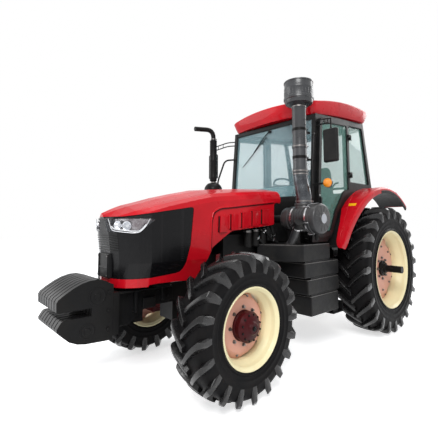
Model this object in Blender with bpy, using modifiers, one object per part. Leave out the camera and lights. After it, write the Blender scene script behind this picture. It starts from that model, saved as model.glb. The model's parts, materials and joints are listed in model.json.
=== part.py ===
"""A four-wheel-drive farm tractor with a closed cab, built piece by piece.

Units are metres and +Z is up. The tractor faces -Y and its left side is +X.
Outlines in the Y-Z plane are tables of (back, up): back is the distance behind
the front axle, up is the height above the ground.
"""
import math

import bmesh
import bpy
from mathutils import Matrix, Vector

# Running gear
WHEELBASE = 2.70
FRONT_AXLE_Y = -1.242
REAR_AXLE_Y = FRONT_AXLE_Y + WHEELBASE
FRONT_TRACK = 1.60
REAR_TRACK = 1.56
FRONT_TYRE_RADIUS = 0.600
FRONT_TYRE_WIDTH = 0.345
FRONT_RIM_RADIUS = 0.330
FRONT_RIM_WIDTH = 0.330
REAR_TYRE_RADIUS = 0.832
REAR_TYRE_WIDTH = 0.430
REAR_RIM_RADIUS = 0.508
REAR_RIM_WIDTH = 0.410
FRONT_LUGS = {"count": 20, "height": 0.036, "sweep": 0.17, "base": 0.080, "top": 0.042}
REAR_LUGS = {"count": 23, "height": 0.042, "sweep": 0.21, "base": 0.095, "top": 0.050}
# share of the half width, share of the sweep, drop of the base and of the top, width factor along a lug
LUG_ROWS = [(0.0, 0.0, 0.0, 0.0, 1.0), (0.50, 0.58, 0.008, 0.002, 1.0), (0.96, 1.0, 0.045, 0.018, 1.15)]
LUG_INNER_SLOPE = 0.07
LUG_OUTER_SLOPE = 0.02
KINGPIN_INSET = 0.16
STEER_ARM_LENGTH = 0.15
BAR_AXLE_REACH = 1.10
BAR_AXLE_RADIUS = 0.045

# Clearances
SEAT = 0.0003
PANEL_GAP = 0.003
SWING_GAP = 0.0065

# Bonnet
HOOD_BACK = 1.05
HOOD_NOSE = -0.83
HOOD_CORNER = -0.42
HOOD_BOTTOM = 0.91
HOOD_TUCK = 0.055
HOOD_TUCK_HEIGHT = 0.20
HOOD_WALL = 0.018
HOOD_CROWN = 0.045
HOOD_SHOULDER = 0.09
NOSE_LEAN = 0.055
HOOD_PIVOT = (1.00, 1.78)
HINGE_X = 0.18
HINGE_PLATE = 0.020
HOOD_FRONT_HALF = 0.375
HOOD_REAR_HALF = 0.42
# back, up along the bonnet's centre line
HOOD_TOP = [(-0.86, 1.51), (-0.71, 1.595), (-0.36, 1.70), (0.05, 1.785), (0.54, 1.835), (1.05, 1.86)]
# back, up of the opening that holds the black grille, with a corner radius
GRILLE_EDGE = [
    (-1.20, 0.975, 0.0),
    (-0.58, 0.985, 0.10),
    (-0.27, 1.010, 0.10),
    (-0.20, 1.25, 0.05),
    (-0.165, 1.595, 0.03),
    (-0.79, 1.500, 0.05),
    (-1.20, 1.485, 0.0),
]
# back, up of what is cut away over the front wheel and round the air cleaner
ARCH_EDGE = [
    (-0.20, 0.80, 0.0),
    (-0.12, 0.93, 0.05),
    (0.06, 1.215, 0.10),
    (0.30, 1.365, 0.16),
    (0.94, 1.425, 0.02),
    (0.945, 1.67, 0.04),
    (1.20, 1.67, 0.0),
    (1.20, 0.80, 0.0),
]

# back, up round the recessed part of the bonnet's side, and the louvres left standing in it
RECESS_EDGE = [(0.03, 1.05, 0.0), (0.04, 1.55, 0.10), (0.20, 1.585, 0.10), (1.10, 1.69, 0.0), (1.10, 1.05, 0.0)]
RECESS_DEPTH = 0.007
LOUVRE_COUNT = 6
LOUVRE_FIRST = 0.13
LOUVRE_PITCH = 0.125
LOUVRE_WIDE = 0.085
LOUVRE_LOW = 1.375
LOUVRE_STEP = 0.0125
LOUVRE_TALL = 0.145

# Fenders
FENDER_RADIUS = 1.10
FENDER_SKIN = 0.020
FENDER_LIP = 0.080
FENDER_HALF = REAR_TRACK / 2 + 0.17
FENDER_START = 18.0
FENDER_END = 128.0
FENDER_STEPS = 16
FENDER_TOP = REAR_TYRE_RADIUS + FENDER_RADIUS

# Cab
TUB_TYRE_GAP = 0.015
CAB_OVERHANG = 0.14
TUB_HALF = REAR_TRACK / 2 - REAR_TYRE_WIDTH / 2 - TUB_TYRE_GAP
CAB_HALF = TUB_HALF + CAB_OVERHANG
CAB_WALL = 0.05
CAB_SILL = 1.225
TUB_WALL = 0.03
CAB_FLOOR = 1.26
DOOR_THICKNESS = 0.030
GLASS = 0.006
PILLAR = 0.065
# back, up at the cab side frame's corners
CAB_FRONT_LOW = (1.27, CAB_SILL)
CAB_FRONT_HIGH = (1.40, 2.75)
CAB_REAR_HIGH = (2.60, 2.85)
CAB_REAR_LOW = (2.80, FENDER_TOP + 0.018)
B_PILLAR_BACK = 2.13
DOOR_HINGE_BACK = B_PILLAR_BACK - 0.005
DOOR_HINGE_HEIGHTS = (2.03, 2.53)
DOOR_HINGE_X = CAB_HALF + 0.050
ROOF_FRONT_HALF = CAB_HALF + 0.01
ROOF_REAR_HALF = CAB_HALF + 0.07
# height over the cab, growth at the ends, growth at the sides of the roof's levels
ROOF_LEVELS = [
    (0.000, -0.030, -0.030),
    (0.020, -0.020, -0.020),
    (0.125, 0.025, 0.005),
    (0.148, 0.015, -0.008),
    (0.185, -0.080, -0.090),
    (0.205, -0.280, -0.300),
]

SMOOTH_ANGLE = math.radians(35)

COLOURS = {
    "red_paint": ((0.62, 0.015, 0.03), 0.25, 0.0),
    "black_gloss": ((0.012, 0.012, 0.013), 0.25, 0.0),
    "black_plastic": ((0.02, 0.02, 0.022), 0.55, 0.0),
    "black_metal": ((0.018, 0.018, 0.02), 0.45, 0.3),
    "dark_cast": ((0.03, 0.03, 0.032), 0.55, 0.4),
    "hub_red": ((0.16, 0.012, 0.02), 0.4, 0.2),
    "rim_cream": ((0.80, 0.74, 0.55), 0.35, 0.0),
    "tyre_rubber": ((0.015, 0.015, 0.015), 0.85, 0.0),
    "clear_glass": ((0.45, 0.62, 0.58), 0.05, 0.0),
    "lamp_lens": ((0.80, 0.82, 0.85), 0.08, 0.2),
    "seat_fabric": ((0.03, 0.03, 0.035), 0.9, 0.0),
    "bright_steel": ((0.55, 0.55, 0.56), 0.3, 0.9),
}


def remove_everything():
    for thing in list(bpy.data.objects):
        bpy.data.objects.remove(thing, do_unlink=True)


def collection(name):
    made = bpy.data.collections.new(name)
    bpy.context.scene.collection.children.link(made)
    return made


remove_everything()
TRACTOR = collection("farm_tractor")
CUTTERS = collection("cutters")


def material(name):
    known = bpy.data.materials.get(name)
    if known:
        return known
    colour, roughness, metallic = COLOURS[name]
    made = bpy.data.materials.new(name)
    made.use_nodes = True
    shader = made.node_tree.nodes["Principled BSDF"]
    shader.inputs["Base Color"].default_value = (*colour, 1.0)
    shader.inputs["Roughness"].default_value = roughness
    shader.inputs["Metallic"].default_value = metallic
    return made


def at(back):
    """World Y of a distance behind the front axle."""
    return FRONT_AXLE_Y + back


def form_from(bm):
    """A working object in the cutters' collection from a bmesh."""
    bmesh.ops.recalc_face_normals(bm, faces=bm.faces)
    mesh = bpy.data.meshes.new("form")
    bm.to_mesh(mesh)
    bm.free()
    form = bpy.data.objects.new("form", mesh)
    form.hide_render = True
    form.display_type = "WIRE"
    CUTTERS.objects.link(form)
    return form


def applied(form):
    """The same object with its modifiers, or its curve, turned into a plain mesh."""
    bpy.context.view_layer.update()
    graph = bpy.context.evaluated_depsgraph_get()
    mesh = bpy.data.meshes.new_from_object(form.evaluated_get(graph))
    bm = bmesh.new()
    bm.from_mesh(mesh)
    bmesh.ops.remove_doubles(bm, verts=bm.verts, dist=0.00001)
    bm.transform(form.matrix_world)
    bpy.data.objects.remove(form, do_unlink=True)
    return form_from(bm)


def box(low, high):
    bm = bmesh.new()
    bmesh.ops.create_cube(bm, size=1.0)
    size = [top - bottom for bottom, top in zip(low, high)]
    centre = [(top + bottom) / 2 for bottom, top in zip(low, high)]
    bmesh.ops.scale(bm, vec=size, verts=bm.verts)
    bmesh.ops.translate(bm, vec=centre, verts=bm.verts)
    return form_from(bm)


def rounded(corners, steps=3):
    """An outline of (a, b, radius) corners with each corner turned into an arc."""
    points = []
    count = len(corners)
    for index, (a, b, radius) in enumerate(corners):
        here = Vector((a, b))
        if radius == 0.0:
            points.append((a, b))
            continue
        before = (Vector(corners[index - 1][:2]) - here)
        after = (Vector(corners[(index + 1) % count][:2]) - here)
        half = before.angle(after) / 2
        reach = min(radius / math.tan(half), before.length * 0.49, after.length * 0.49)
        start = here + before.normalized() * reach
        end = here + after.normalized() * reach
        for step in range(steps + 1):
            t = step / steps
            point = start * (1 - t) ** 2 + here * 2 * t * (1 - t) + end * t ** 2
            points.append((point.x, point.y))
    return points


def side_outline(corners, steps=3):
    """A rounded outline given by (back, up, radius), as world (y, z) points."""
    return [(at(back), up) for back, up in rounded(corners, steps)]


def prism(outline, axis, low, high):
    """A flat outline pulled along one axis from low to high."""
    along = "XYZ".index(axis)
    first, second = (index for index in range(3) if index != along)
    bm = bmesh.new()
    ring = []
    for a, b in outline:
        place = [0.0, 0.0, 0.0]
        place[first] = a
        place[second] = b
        place[along] = low
        ring.append(bm.verts.new(place))
    face = bm.faces.new(ring)
    made = bmesh.ops.extrude_face_region(bm, geom=[face])
    moved = [item for item in made["geom"] if isinstance(item, bmesh.types.BMVert)]
    step = Vector((0.0, 0.0, 0.0))
    step[along] = high - low
    bmesh.ops.translate(bm, verts=moved, vec=step)
    return form_from(bm)


def loft(sections):
    """A closed form through closed sections that all have as many points."""
    bm = bmesh.new()
    rings = [[bm.verts.new(point) for point in section] for section in sections]
    for lower, upper in zip(rings, rings[1:]):
        for index in range(len(lower)):
            after = (index + 1) % len(lower)
            bm.faces.new((lower[index], lower[after], upper[after], upper[index]))
    bm.faces.new(rings[0])
    bm.faces.new(rings[-1])
    return form_from(bm)


TURN_AXES = {
    "Z": Matrix.Identity(4),
    "X": Matrix.Rotation(math.pi / 2, 4, "Y"),
    "Y": Matrix.Rotation(-math.pi / 2, 4, "X"),
}


def turned(profile, place, axis="Z", segments=32, hollow=False):
    """A profile of (radius, along) turned about an axis through a place."""
    mesh = bpy.data.meshes.new("profile")
    count = len(profile)
    edges = [(index, index + 1) for index in range(count - 1)]
    if hollow:
        edges.append((count - 1, 0))
    mesh.from_pydata([(radius, 0.0, along) for radius, along in profile], edges, [])
    form = bpy.data.objects.new("profile", mesh)
    CUTTERS.objects.link(form)
    screw = form.modifiers.new("turn", "SCREW")
    screw.steps = segments
    screw.render_steps = segments
    screw.use_merge_vertices = True
    screw.merge_threshold = 0.00001
    form.matrix_world = Matrix.Translation(place) @ TURN_AXES[axis]
    return applied(form)


def drum(radius, low, high, place, axis="Z", segments=24):
    """A plain round bar between two positions along its axis."""
    return turned([(0.0, high), (radius, high), (radius, low), (0.0, low)], place, axis, segments)


def bent(points, radius, steps=4):
    """A path with its inner corners rounded."""
    path = [Vector(points[0])]
    for before, here, after in zip(points, points[1:], points[2:]):
        here = Vector(here)
        back = Vector(before) - here
        ahead = Vector(after) - here
        reach = min(radius, back.length * 0.45, ahead.length * 0.45)
        start = here + back.normalized() * reach
        end = here + ahead.normalized() * reach
        for step in range(steps + 1):
            t = step / steps
            path.append(start * (1 - t) ** 2 + here * 2 * t * (1 - t) + end * t ** 2)
    path.append(Vector(points[-1]))
    return path


def tube(points, radius, roundness=2):
    """A round bar or pipe along a path."""
    curve = bpy.data.curves.new("tube", "CURVE")
    curve.dimensions = "3D"
    curve.bevel_depth = radius
    curve.bevel_resolution = roundness
    curve.use_fill_caps = True
    spline = curve.splines.new("POLY")
    spline.points.add(len(points) - 1)
    for slot, point in zip(spline.points, points):
        slot.co = (*point, 1.0)
    form = bpy.data.objects.new("tube", curve)
    CUTTERS.objects.link(form)
    return applied(form)


def combine(base, operation, tools):
    for tool in tools:
        change = base.modifiers.new(operation.lower(), "BOOLEAN")
        change.operation = operation
        change.solver = "EXACT"
        change.object = tool
    result = applied(base)
    for tool in tools:
        bpy.data.objects.remove(tool, do_unlink=True)
    return result


def joined(*forms):
    return combine(forms[0], "UNION", forms[1:])


def cut(form, *tools):
    return combine(form, "DIFFERENCE", tools)


def common(form, *tools):
    return combine(form, "INTERSECT", tools)


def softened(form, width, segments=2, angle=40):
    """The form with its sharp edges bevelled."""
    bevel = form.modifiers.new("edges", "BEVEL")
    bevel.width = width
    bevel.segments = segments
    bevel.limit_method = "ANGLE"
    bevel.angle_limit = math.radians(angle)
    return applied(form)


def mirrored(form):
    """The same form on the other side of the tractor."""
    bm = bmesh.new()
    bm.from_mesh(form.data)
    bmesh.ops.scale(bm, vec=(-1.0, 1.0, 1.0), verts=bm.verts)
    bpy.data.objects.remove(form, do_unlink=True)
    return form_from(bm)


def sided(form, side):
    return form if side > 0 else mirrored(form)


def node(name, form, colour, pivot=(0.0, 0.0, 0.0)):
    """A finished piece of the tractor, with its origin on its pivot."""
    form.name = name
    form.data.name = name
    form.hide_render = False
    form.display_type = "TEXTURED"
    form.data.transform(Matrix.Translation(-Vector(pivot)))
    form.location = pivot
    CUTTERS.objects.unlink(form)
    TRACTOR.objects.link(form)
    form.data.materials.clear()
    form.data.materials.append(material(colour))
    form.data.shade_smooth()
    form.data.set_sharp_from_angle(angle=SMOOTH_ANGLE)
    return form


# Wheels

SIDES = (("left", 1), ("right", -1))


def front_wheel_centre(side):
    return Vector((side * FRONT_TRACK / 2, FRONT_AXLE_Y, FRONT_TYRE_RADIUS))


def rear_wheel_centre(side):
    return Vector((side * REAR_TRACK / 2, REAR_AXLE_Y, REAR_TYRE_RADIUS))


def kingpin(side):
    return Vector((side * (FRONT_TRACK / 2 - KINGPIN_INSET), FRONT_AXLE_Y, FRONT_TYRE_RADIUS))


WHEEL_SEGMENTS = 24
RIM_METAL = 0.010
RIM_LIP = 0.015
BEAD_DROP = 0.025
WELL_DROP = 0.055
WELL_HALF_SHARE = 0.30


def rim_profile(radius, width, disc):
    """Rim and disc as one closed section of (radius, along), along pointing out."""
    half = width / 2
    bead = radius - BEAD_DROP
    well = radius - WELL_DROP
    well_half = half * WELL_HALF_SHARE
    outer = [
        (radius, half),
        (radius, half - RIM_LIP),
        (bead, half - RIM_LIP - 0.004),
        (well, well_half),
        (well, -well_half),
        (bead, -half + RIM_LIP + 0.004),
        (radius, -half + RIM_LIP),
        (radius, -half),
    ]
    inner = [
        (bead - RIM_METAL, -half + RIM_LIP - 0.004),
        (well - RIM_METAL, -well_half),
    ]
    beyond = [
        (well - RIM_METAL, well_half),
        (bead - RIM_METAL, half - RIM_LIP + 0.004),
    ]
    return outer + inner + disc + beyond


FRONT_HUB_RADIUS = 0.125
FRONT_DISC_PLATE = 0.014
FRONT_DISC_OUT = 0.045
REAR_HUB_RADIUS = 0.105
REAR_DISC_PLATE = 0.016
REAR_DISC_RADIUS = 0.333
REAR_DISC_IN = 0.075


def front_disc():
    well = FRONT_RIM_RADIUS - WELL_DROP - RIM_METAL
    hole = FRONT_HUB_RADIUS + SEAT
    face = FRONT_DISC_OUT - FRONT_DISC_PLATE
    return [
        (well, -0.020),
        (well - 0.050, face),
        (hole, face),
        (hole, FRONT_DISC_OUT),
        (well - 0.050, FRONT_DISC_OUT),
        (well, 0.0),
    ]


def rear_disc():
    well = REAR_RIM_RADIUS - WELL_DROP - RIM_METAL
    hole = REAR_HUB_RADIUS + SEAT
    back = -REAR_DISC_IN - REAR_DISC_PLATE
    return [
        (well, -0.045),
        (REAR_DISC_RADIUS, back),
        (hole, back),
        (hole, -REAR_DISC_IN),
        (REAR_DISC_RADIUS, -REAR_DISC_IN),
        (well, -0.025),
    ]


def sided_profile(profile, side):
    return [(radius, side * along) for radius, along in profile]


def wheel_point(lateral, radius, angle):
    """A point about a wheel's centre; the angle runs from the top towards the front."""
    return (lateral, -radius * math.sin(angle), radius * math.cos(angle))


def bridge(bm, first, second):
    """Triangles between two rings of (angle, vertex) with their own spacings."""
    def place(ring, index):
        return ring[index % len(ring)][0] + 2 * math.pi * (index // len(ring))

    def vertex(ring, index):
        return ring[index % len(ring)][1]

    i = j = 0
    while i < len(first) or j < len(second):
        if j == len(second) or (i < len(first) and place(first, i + 1) <= place(second, j + 1)):
            bm.faces.new((vertex(first, i), vertex(first, i + 1), vertex(second, j)))
            i += 1
        else:
            bm.faces.new((vertex(first, i), vertex(second, j + 1), vertex(second, j)))
            j += 1


def sorted_ring(points):
    """Rings of (angle, vertex) start at the first angle past zero."""
    return sorted(((angle % (2 * math.pi), vertex) for angle, vertex in points), key=lambda row: row[0])


def tread_side(bm, side, radius, half, lugs):
    """One half of the tread: for each lug its rows of (base low, base high, top low, top high)."""
    crown = radius - lugs["height"]
    pitch = 2 * math.pi / lugs["count"]
    lowest = math.pi - lugs["top"] / 2 / radius
    phase = 0.0 if side > 0 else 0.5
    rows = []
    for index in range(lugs["count"]):
        lug = []
        for reach, turn_share, base_drop, top_drop, flare in LUG_ROWS:
            angle = lowest + (index + phase) * pitch - lugs["sweep"] * turn_share / radius
            base = lugs["base"] * flare / 2 / radius
            top = lugs["top"] * flare / 2 / radius
            top_reach = max(reach, LUG_INNER_SLOPE) if reach < 0.9 else reach - LUG_OUTER_SLOPE
            row = []
            for place, drum_radius, across in (
                (reach, crown - base_drop, -base), (reach, crown - base_drop, base),
                (top_reach, radius - top_drop, -top), (top_reach, radius - top_drop, top),
            ):
                point = wheel_point(side * half * place, drum_radius, angle + across)
                row.append((angle + across, bm.verts.new(point)))
            lug.append(row)
        rows.append(lug)
    return rows


def tread_faces(bm, rows, other):
    """The faces of one half of the tread; other holds the vertices of the far half's centre ring."""
    count = len(rows)
    for index, lug in enumerate(rows):
        following = rows[(index + 1) % count]
        for near, far in zip(lug, lug[1:]):
            for a, b in ((2, 3), (0, 2), (3, 1)):
                bm.faces.new((near[a][1], near[b][1], far[b][1], far[a][1]))
        for row in (lug[0], lug[-1]):
            bm.faces.new((row[0][1], row[1][1], row[3][1], row[2][1]))
        for step in range(len(lug) - 1):
            edge = [lug[step][1][1], following[step][0][1]]
            if step == 0:
                edge[1:1] = between(lug[0][1][0], following[0][0][0], other)
            bm.faces.new(edge + [following[step + 1][0][1], lug[step + 1][1][1]])


def between(start, end, ring):
    """The vertices of a ring that lie between two angles, in order."""
    full = 2 * math.pi
    span = (end - start) % full
    inside = [((angle - start) % full, vertex) for angle, vertex in ring if 0 < (angle - start) % full < span]
    return [vertex for _, vertex in sorted(inside, key=lambda row: row[0])]


def tyre_form(radius, width, rim_radius, rim_width, lugs):
    """A tyre about the origin: lugged tread, side walls and beads in one closed skin."""
    half = width / 2
    bead_half = rim_width / 2 - RIM_LIP - 0.004 - SEAT
    bead = rim_radius - BEAD_DROP + SEAT
    wall = rim_radius + (radius - lugs["height"] - rim_radius) * 0.50
    bm = bmesh.new()
    treads = {side: tread_side(bm, side, radius, half, lugs) for side in (1, -1)}
    beads = []
    for side in (1, -1):
        centre_ring = [corner for lug in treads[-side] for corner in lug[0][:2]]
        tread_faces(bm, treads[side], centre_ring)
        rings = []
        for ring_radius, lateral in ((wall, half), (rim_radius + 0.004, bead_half), (bead, bead_half)):
            ring = []
            for step in range(WHEEL_SEGMENTS):
                angle = 2 * math.pi * step / WHEEL_SEGMENTS
                ring.append((angle, bm.verts.new(wheel_point(side * lateral, ring_radius, angle))))
            rings.append(ring)
        shoulder = sorted_ring([corner for lug in treads[side] for corner in lug[-1][:2]])
        bridge(bm, shoulder, rings[0])
        bridge(bm, rings[0], rings[1])
        bridge(bm, rings[1], rings[2])
        beads.append(rings[2])
    bridge(bm, *beads)
    return form_from(bm)


def build_tyre(name, centre, side, sizes, lugs):
    tyre = sided(tyre_form(*sizes, lugs), side)
    tyre.data.transform(Matrix.Translation(centre))
    node(name, tyre, "tyre_rubber", centre)


def build_front_wheel(name, side):
    centre = front_wheel_centre(side)
    rim = sided_profile(rim_profile(FRONT_RIM_RADIUS, FRONT_RIM_WIDTH, front_disc()), side)
    node("front_rim_" + name, turned(rim, centre, "X", WHEEL_SEGMENTS, hollow=True), "rim_cream", centre)
    sizes = (FRONT_TYRE_RADIUS, FRONT_TYRE_WIDTH, FRONT_RIM_RADIUS, FRONT_RIM_WIDTH)
    build_tyre("front_tyre_" + name, centre, side, sizes, FRONT_LUGS)
    disc_back = FRONT_DISC_OUT - FRONT_DISC_PLATE - SEAT
    hub = [
        (0.0, 0.172),
        (0.045, 0.172),
        (0.055, 0.155),
        (0.095, 0.145),
        (0.118, 0.120),
        (FRONT_HUB_RADIUS, 0.115),
        (FRONT_HUB_RADIUS, disc_back),
        (0.155, disc_back),
        (0.155, disc_back - 0.022),
        (0.125, disc_back - 0.030),
        (0.115, SPINDLE_END),
        (0.0, SPINDLE_END),
    ]
    node("front_hub_" + name, turned(sided_profile(hub, side), centre, "X", WHEEL_SEGMENTS), "hub_red", centre)


SPINDLE_END = -0.062


def build_rear_wheel(name, side):
    centre = rear_wheel_centre(side)
    rim = sided_profile(rim_profile(REAR_RIM_RADIUS, REAR_RIM_WIDTH, rear_disc()), side)
    node("rear_rim_" + name, turned(rim, centre, "X", WHEEL_SEGMENTS, hollow=True), "rim_cream", centre)
    sizes = (REAR_TYRE_RADIUS, REAR_TYRE_WIDTH, REAR_RIM_RADIUS, REAR_RIM_WIDTH)
    build_tyre("rear_tyre_" + name, centre, side, sizes, REAR_LUGS)
    inner = TRUMPET_END - REAR_TRACK / 2 + SEAT
    outer = BAR_AXLE_REACH - REAR_TRACK / 2
    plate = -REAR_DISC_IN - REAR_DISC_PLATE - SEAT
    bar = [
        (0.0, outer),
        (BAR_AXLE_RADIUS, outer),
        (BAR_AXLE_RADIUS, 0.060),
        (0.085, 0.055),
        (REAR_HUB_RADIUS, 0.000),
        (REAR_HUB_RADIUS, plate),
        (0.165, plate),
        (0.165, plate - 0.022),
        (0.090, plate - 0.045),
        (BAR_AXLE_RADIUS, plate - 0.060),
        (BAR_AXLE_RADIUS, inner),
        (0.0, inner),
    ]
    node("rear_axle_bar_" + name, turned(sided_profile(bar, side), centre, "X", WHEEL_SEGMENTS), "black_metal", centre)


# Axles and chassis

TRUMPET_END = REAR_TRACK / 2 - 0.25
YOKE_RISE = 0.100
YOKE_PLATE = 0.035
BEAM_END = 0.54
SUPPORT_BOTTOM = 0.72
SUPPORT_TOP = 0.895
SUPPORT_HALF = 0.17
PIVOT_HALF = 0.15


def build_front_axle():
    axle_z = FRONT_TYRE_RADIUS
    end = kingpin(1).x - 0.10
    centre = (0.0, FRONT_AXLE_Y, axle_z)
    half_beam = [(0.0, -end), (0.075, -end), (0.070, -0.24), (0.115, -0.13)]
    profile = half_beam + [(radius, -along) for radius, along in reversed(half_beam)]
    forms = [turned([(r, -a) for r, a in profile], centre, "X", 16)]
    forms.append(box((-0.10, at(-PIVOT_HALF + SEAT), axle_z - 0.05), (0.10, at(PIVOT_HALF - SEAT), axle_z + 0.05)))
    for side in (1, -1):
        x_in = end - 0.04
        x_out = kingpin(1).x + 0.05
        web = box((x_in, at(-0.055), axle_z - YOKE_RISE - YOKE_PLATE),
                  (end, at(0.055), axle_z + YOKE_RISE + YOKE_PLATE))
        upper = box((x_in, at(-0.05), axle_z + YOKE_RISE), (x_out, at(0.05), axle_z + YOKE_RISE + YOKE_PLATE))
        lower = box((x_in, at(-0.05), axle_z - YOKE_RISE - YOKE_PLATE), (x_out, at(0.05), axle_z - YOKE_RISE))
        forms += [sided(form, side) for form in (web, upper, lower)]
    barrel = drum(0.042, -0.20, 0.20, (0.0, at(STEER_ARM_LENGTH), ROD_Z), "X", 16)
    bracket = box((-0.04, at(0.03), ROD_Z - 0.02), (0.04, at(STEER_ARM_LENGTH), ROD_Z + 0.07))
    beam = joined(*forms, bracket, barrel)
    bore = drum(ROD_RADIUS + 0.0005, -0.30, 0.30, (0.0, at(STEER_ARM_LENGTH), ROD_Z), "X", 12)
    node("front_axle_beam", cut(beam, bore), "hub_red")


ROD_Z = 0.455
ROD_RADIUS = 0.018
ARM_BOTTOM = 0.505
ARM_THICKNESS = 0.030


def build_steering_rod():
    pin_x = kingpin(1).x
    place = (0.0, at(STEER_ARM_LENGTH), ROD_Z)
    forms = [drum(ROD_RADIUS, -pin_x, pin_x, place, "X", 12)]
    for side in (1, -1):
        top = ARM_BOTTOM - SEAT - ROD_Z
        forms.append(drum(0.026, -0.024, top, (side * pin_x, place[1], ROD_Z), "Z", 16))
    node("steering_rod", joined(*forms), "bright_steel")


def build_knuckle(name, side):
    pin = kingpin(1)
    reach = FRONT_TRACK / 2 + SPINDLE_END - SEAT - pin.x
    post = drum(0.055, -YOKE_RISE + SEAT, YOKE_RISE - SEAT, pin, "Z", 16)
    housing = drum(0.085, 0.0, reach, pin, "X", 20)
    arm = box((pin.x - 0.025, pin.y, ARM_BOTTOM), (pin.x + 0.025, at(STEER_ARM_LENGTH), ARM_BOTTOM + ARM_THICKNESS))
    eye = drum(0.030, 0.0, ARM_THICKNESS, (pin.x, at(STEER_ARM_LENGTH), ARM_BOTTOM), "Z", 16)
    knuckle = sided(joined(post, housing, arm, eye), side)
    node("knuckle_" + name, knuckle, "hub_red", kingpin(side))


def build_front_support():
    frame = box((-SUPPORT_HALF, at(-0.66), SUPPORT_BOTTOM), (SUPPORT_HALF, at(0.20), SUPPORT_TOP))
    tail = box((-SUPPORT_HALF - 0.04, at(0.10), SUPPORT_BOTTOM), (SUPPORT_HALF + 0.04, at(ENGINE_FRONT - SEAT), SUPPORT_TOP))
    forms = [tail]
    for low, high in ((-0.21, -PIVOT_HALF), (PIVOT_HALF, 0.21)):
        forms.append(box((-0.11, at(low), 0.53), (0.11, at(high), SUPPORT_BOTTOM + 0.01)))
    for side in (1, -1):
        arm = box((0.11, at(WEIGHT_BACK + SEAT + 0.01), 0.60), (0.16, at(-0.55), 0.84))
        forms.append(sided(arm, side))
    forms.append(box((-0.245, at(WEIGHT_BACK + SEAT), 0.56), (0.245, at(WEIGHT_BACK + 0.05), 0.89)))
    node("front_support", joined(frame, *forms), "black_metal")


WEIGHT_BACK = -0.86
WEIGHT_COUNT = 8
WEIGHT_PITCH = 0.063
WEIGHT_PLATE = 0.052
# back, up, radius round one weight, seen from the side
WEIGHT_EDGE = [
    (-0.86, 0.53, 0.0),
    (-1.13, 0.545, 0.10),
    (-1.28, 0.675, 0.05),
    (-1.24, 0.74, 0.03),
    (-1.03, 0.74, 0.0),
    (-1.03, 0.80, 0.0),
    (-1.285, 0.795, 0.0),
    (-1.29, 0.885, 0.03),
    (-1.05, 1.02, 0.10),
    (-0.86, 0.955, 0.0),
]


def build_weights():
    outline = side_outline(WEIGHT_EDGE, 1)
    plates = []
    for index in range(WEIGHT_COUNT):
        middle = (index - (WEIGHT_COUNT - 1) / 2) * WEIGHT_PITCH
        plates.append(prism(outline, "X", middle - WEIGHT_PLATE / 2, middle + WEIGHT_PLATE / 2))
    half = (WEIGHT_COUNT - 1) / 2 * WEIGHT_PITCH
    rod = drum(0.03, -half, half, (0.0, at(-0.95), 0.88), "X", 12)
    bar = box((-half, at(-0.93), 0.58), (half, at(WEIGHT_BACK - 0.005), 0.66))
    node("front_weights", joined(*plates, rod, bar), "black_metal")


ENGINE_FRONT = 0.32
ENGINE_BACK = 1.02
ENGINE_HALF = 0.24


def build_engine():
    block = box((-ENGINE_HALF, at(ENGINE_FRONT), 0.70), (ENGINE_HALF, at(ENGINE_BACK), 1.32))
    sump = softened(box((-0.16, at(0.36), 0.52), (0.16, at(0.96), 0.75)), 0.03, 1)
    head = box((-0.17, at(0.36), 1.30), (0.13, at(0.98), 1.52))
    manifold = box((-0.30, at(0.42), 1.22), (-0.20, at(0.92), 1.34))
    post_x = HINGE_X + HINGE_PLATE + SEAT
    posts = []
    for side in (1, -1):
        post = box((post_x, at(HOOD_PIVOT[0] - 0.02), 1.30), (post_x + 0.035, at(HOOD_PIVOT[0] + 0.018), HOOD_PIVOT[1] + 0.01))
        posts.append(sided(post, side))
    fan = drum(0.21, -0.20, -0.15, (0.0, at(ENGINE_FRONT), 1.18), "Y", 20)
    fan_shaft = drum(0.05, -0.20, 0.02, (0.0, at(ENGINE_FRONT), 1.18), "Y", 12)
    node("engine", joined(block, sump, head, manifold, fan, fan_shaft, *posts), "dark_cast")


def build_radiator():
    core = box((-0.30, at(-0.50), SUPPORT_TOP + SEAT), (0.30, at(-0.36), 1.48))
    shroud = drum(0.25, 0.0, 0.12, (0.0, at(-0.37), 1.18), "Y", 24)
    node("radiator", joined(core, shroud), "black_metal")


GEARBOX_BACK = 2.42


def build_transmission():
    bell = box((-0.24, at(ENGINE_BACK + SEAT), 0.66), (0.24, at(1.35), 1.12))
    case = box((-0.19, at(1.30), 0.62), (0.19, at(GEARBOX_BACK - SEAT), 1.05))
    belly = box((-0.14, at(1.45), 0.54), (0.14, at(2.25), 0.70))
    mount = box((-0.24, at(1.52), 0.96), (0.24, at(1.64), FLOOR_UNDER - SEAT))
    node("transmission", joined(softened(bell, 0.03, 1), softened(case, 0.02, 1), belly, mount), "dark_cast")


FLOOR_UNDER = CAB_FLOOR - 0.04
PLATFORM = 1.40
LINK_PIN_BACK = 2.86
LINK_PIN_Z = 0.56
LINK_X = 0.30
SHAFT_BACK = 2.84
SHAFT_Z = 1.17
SHAFT_RADIUS = 0.038


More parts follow.
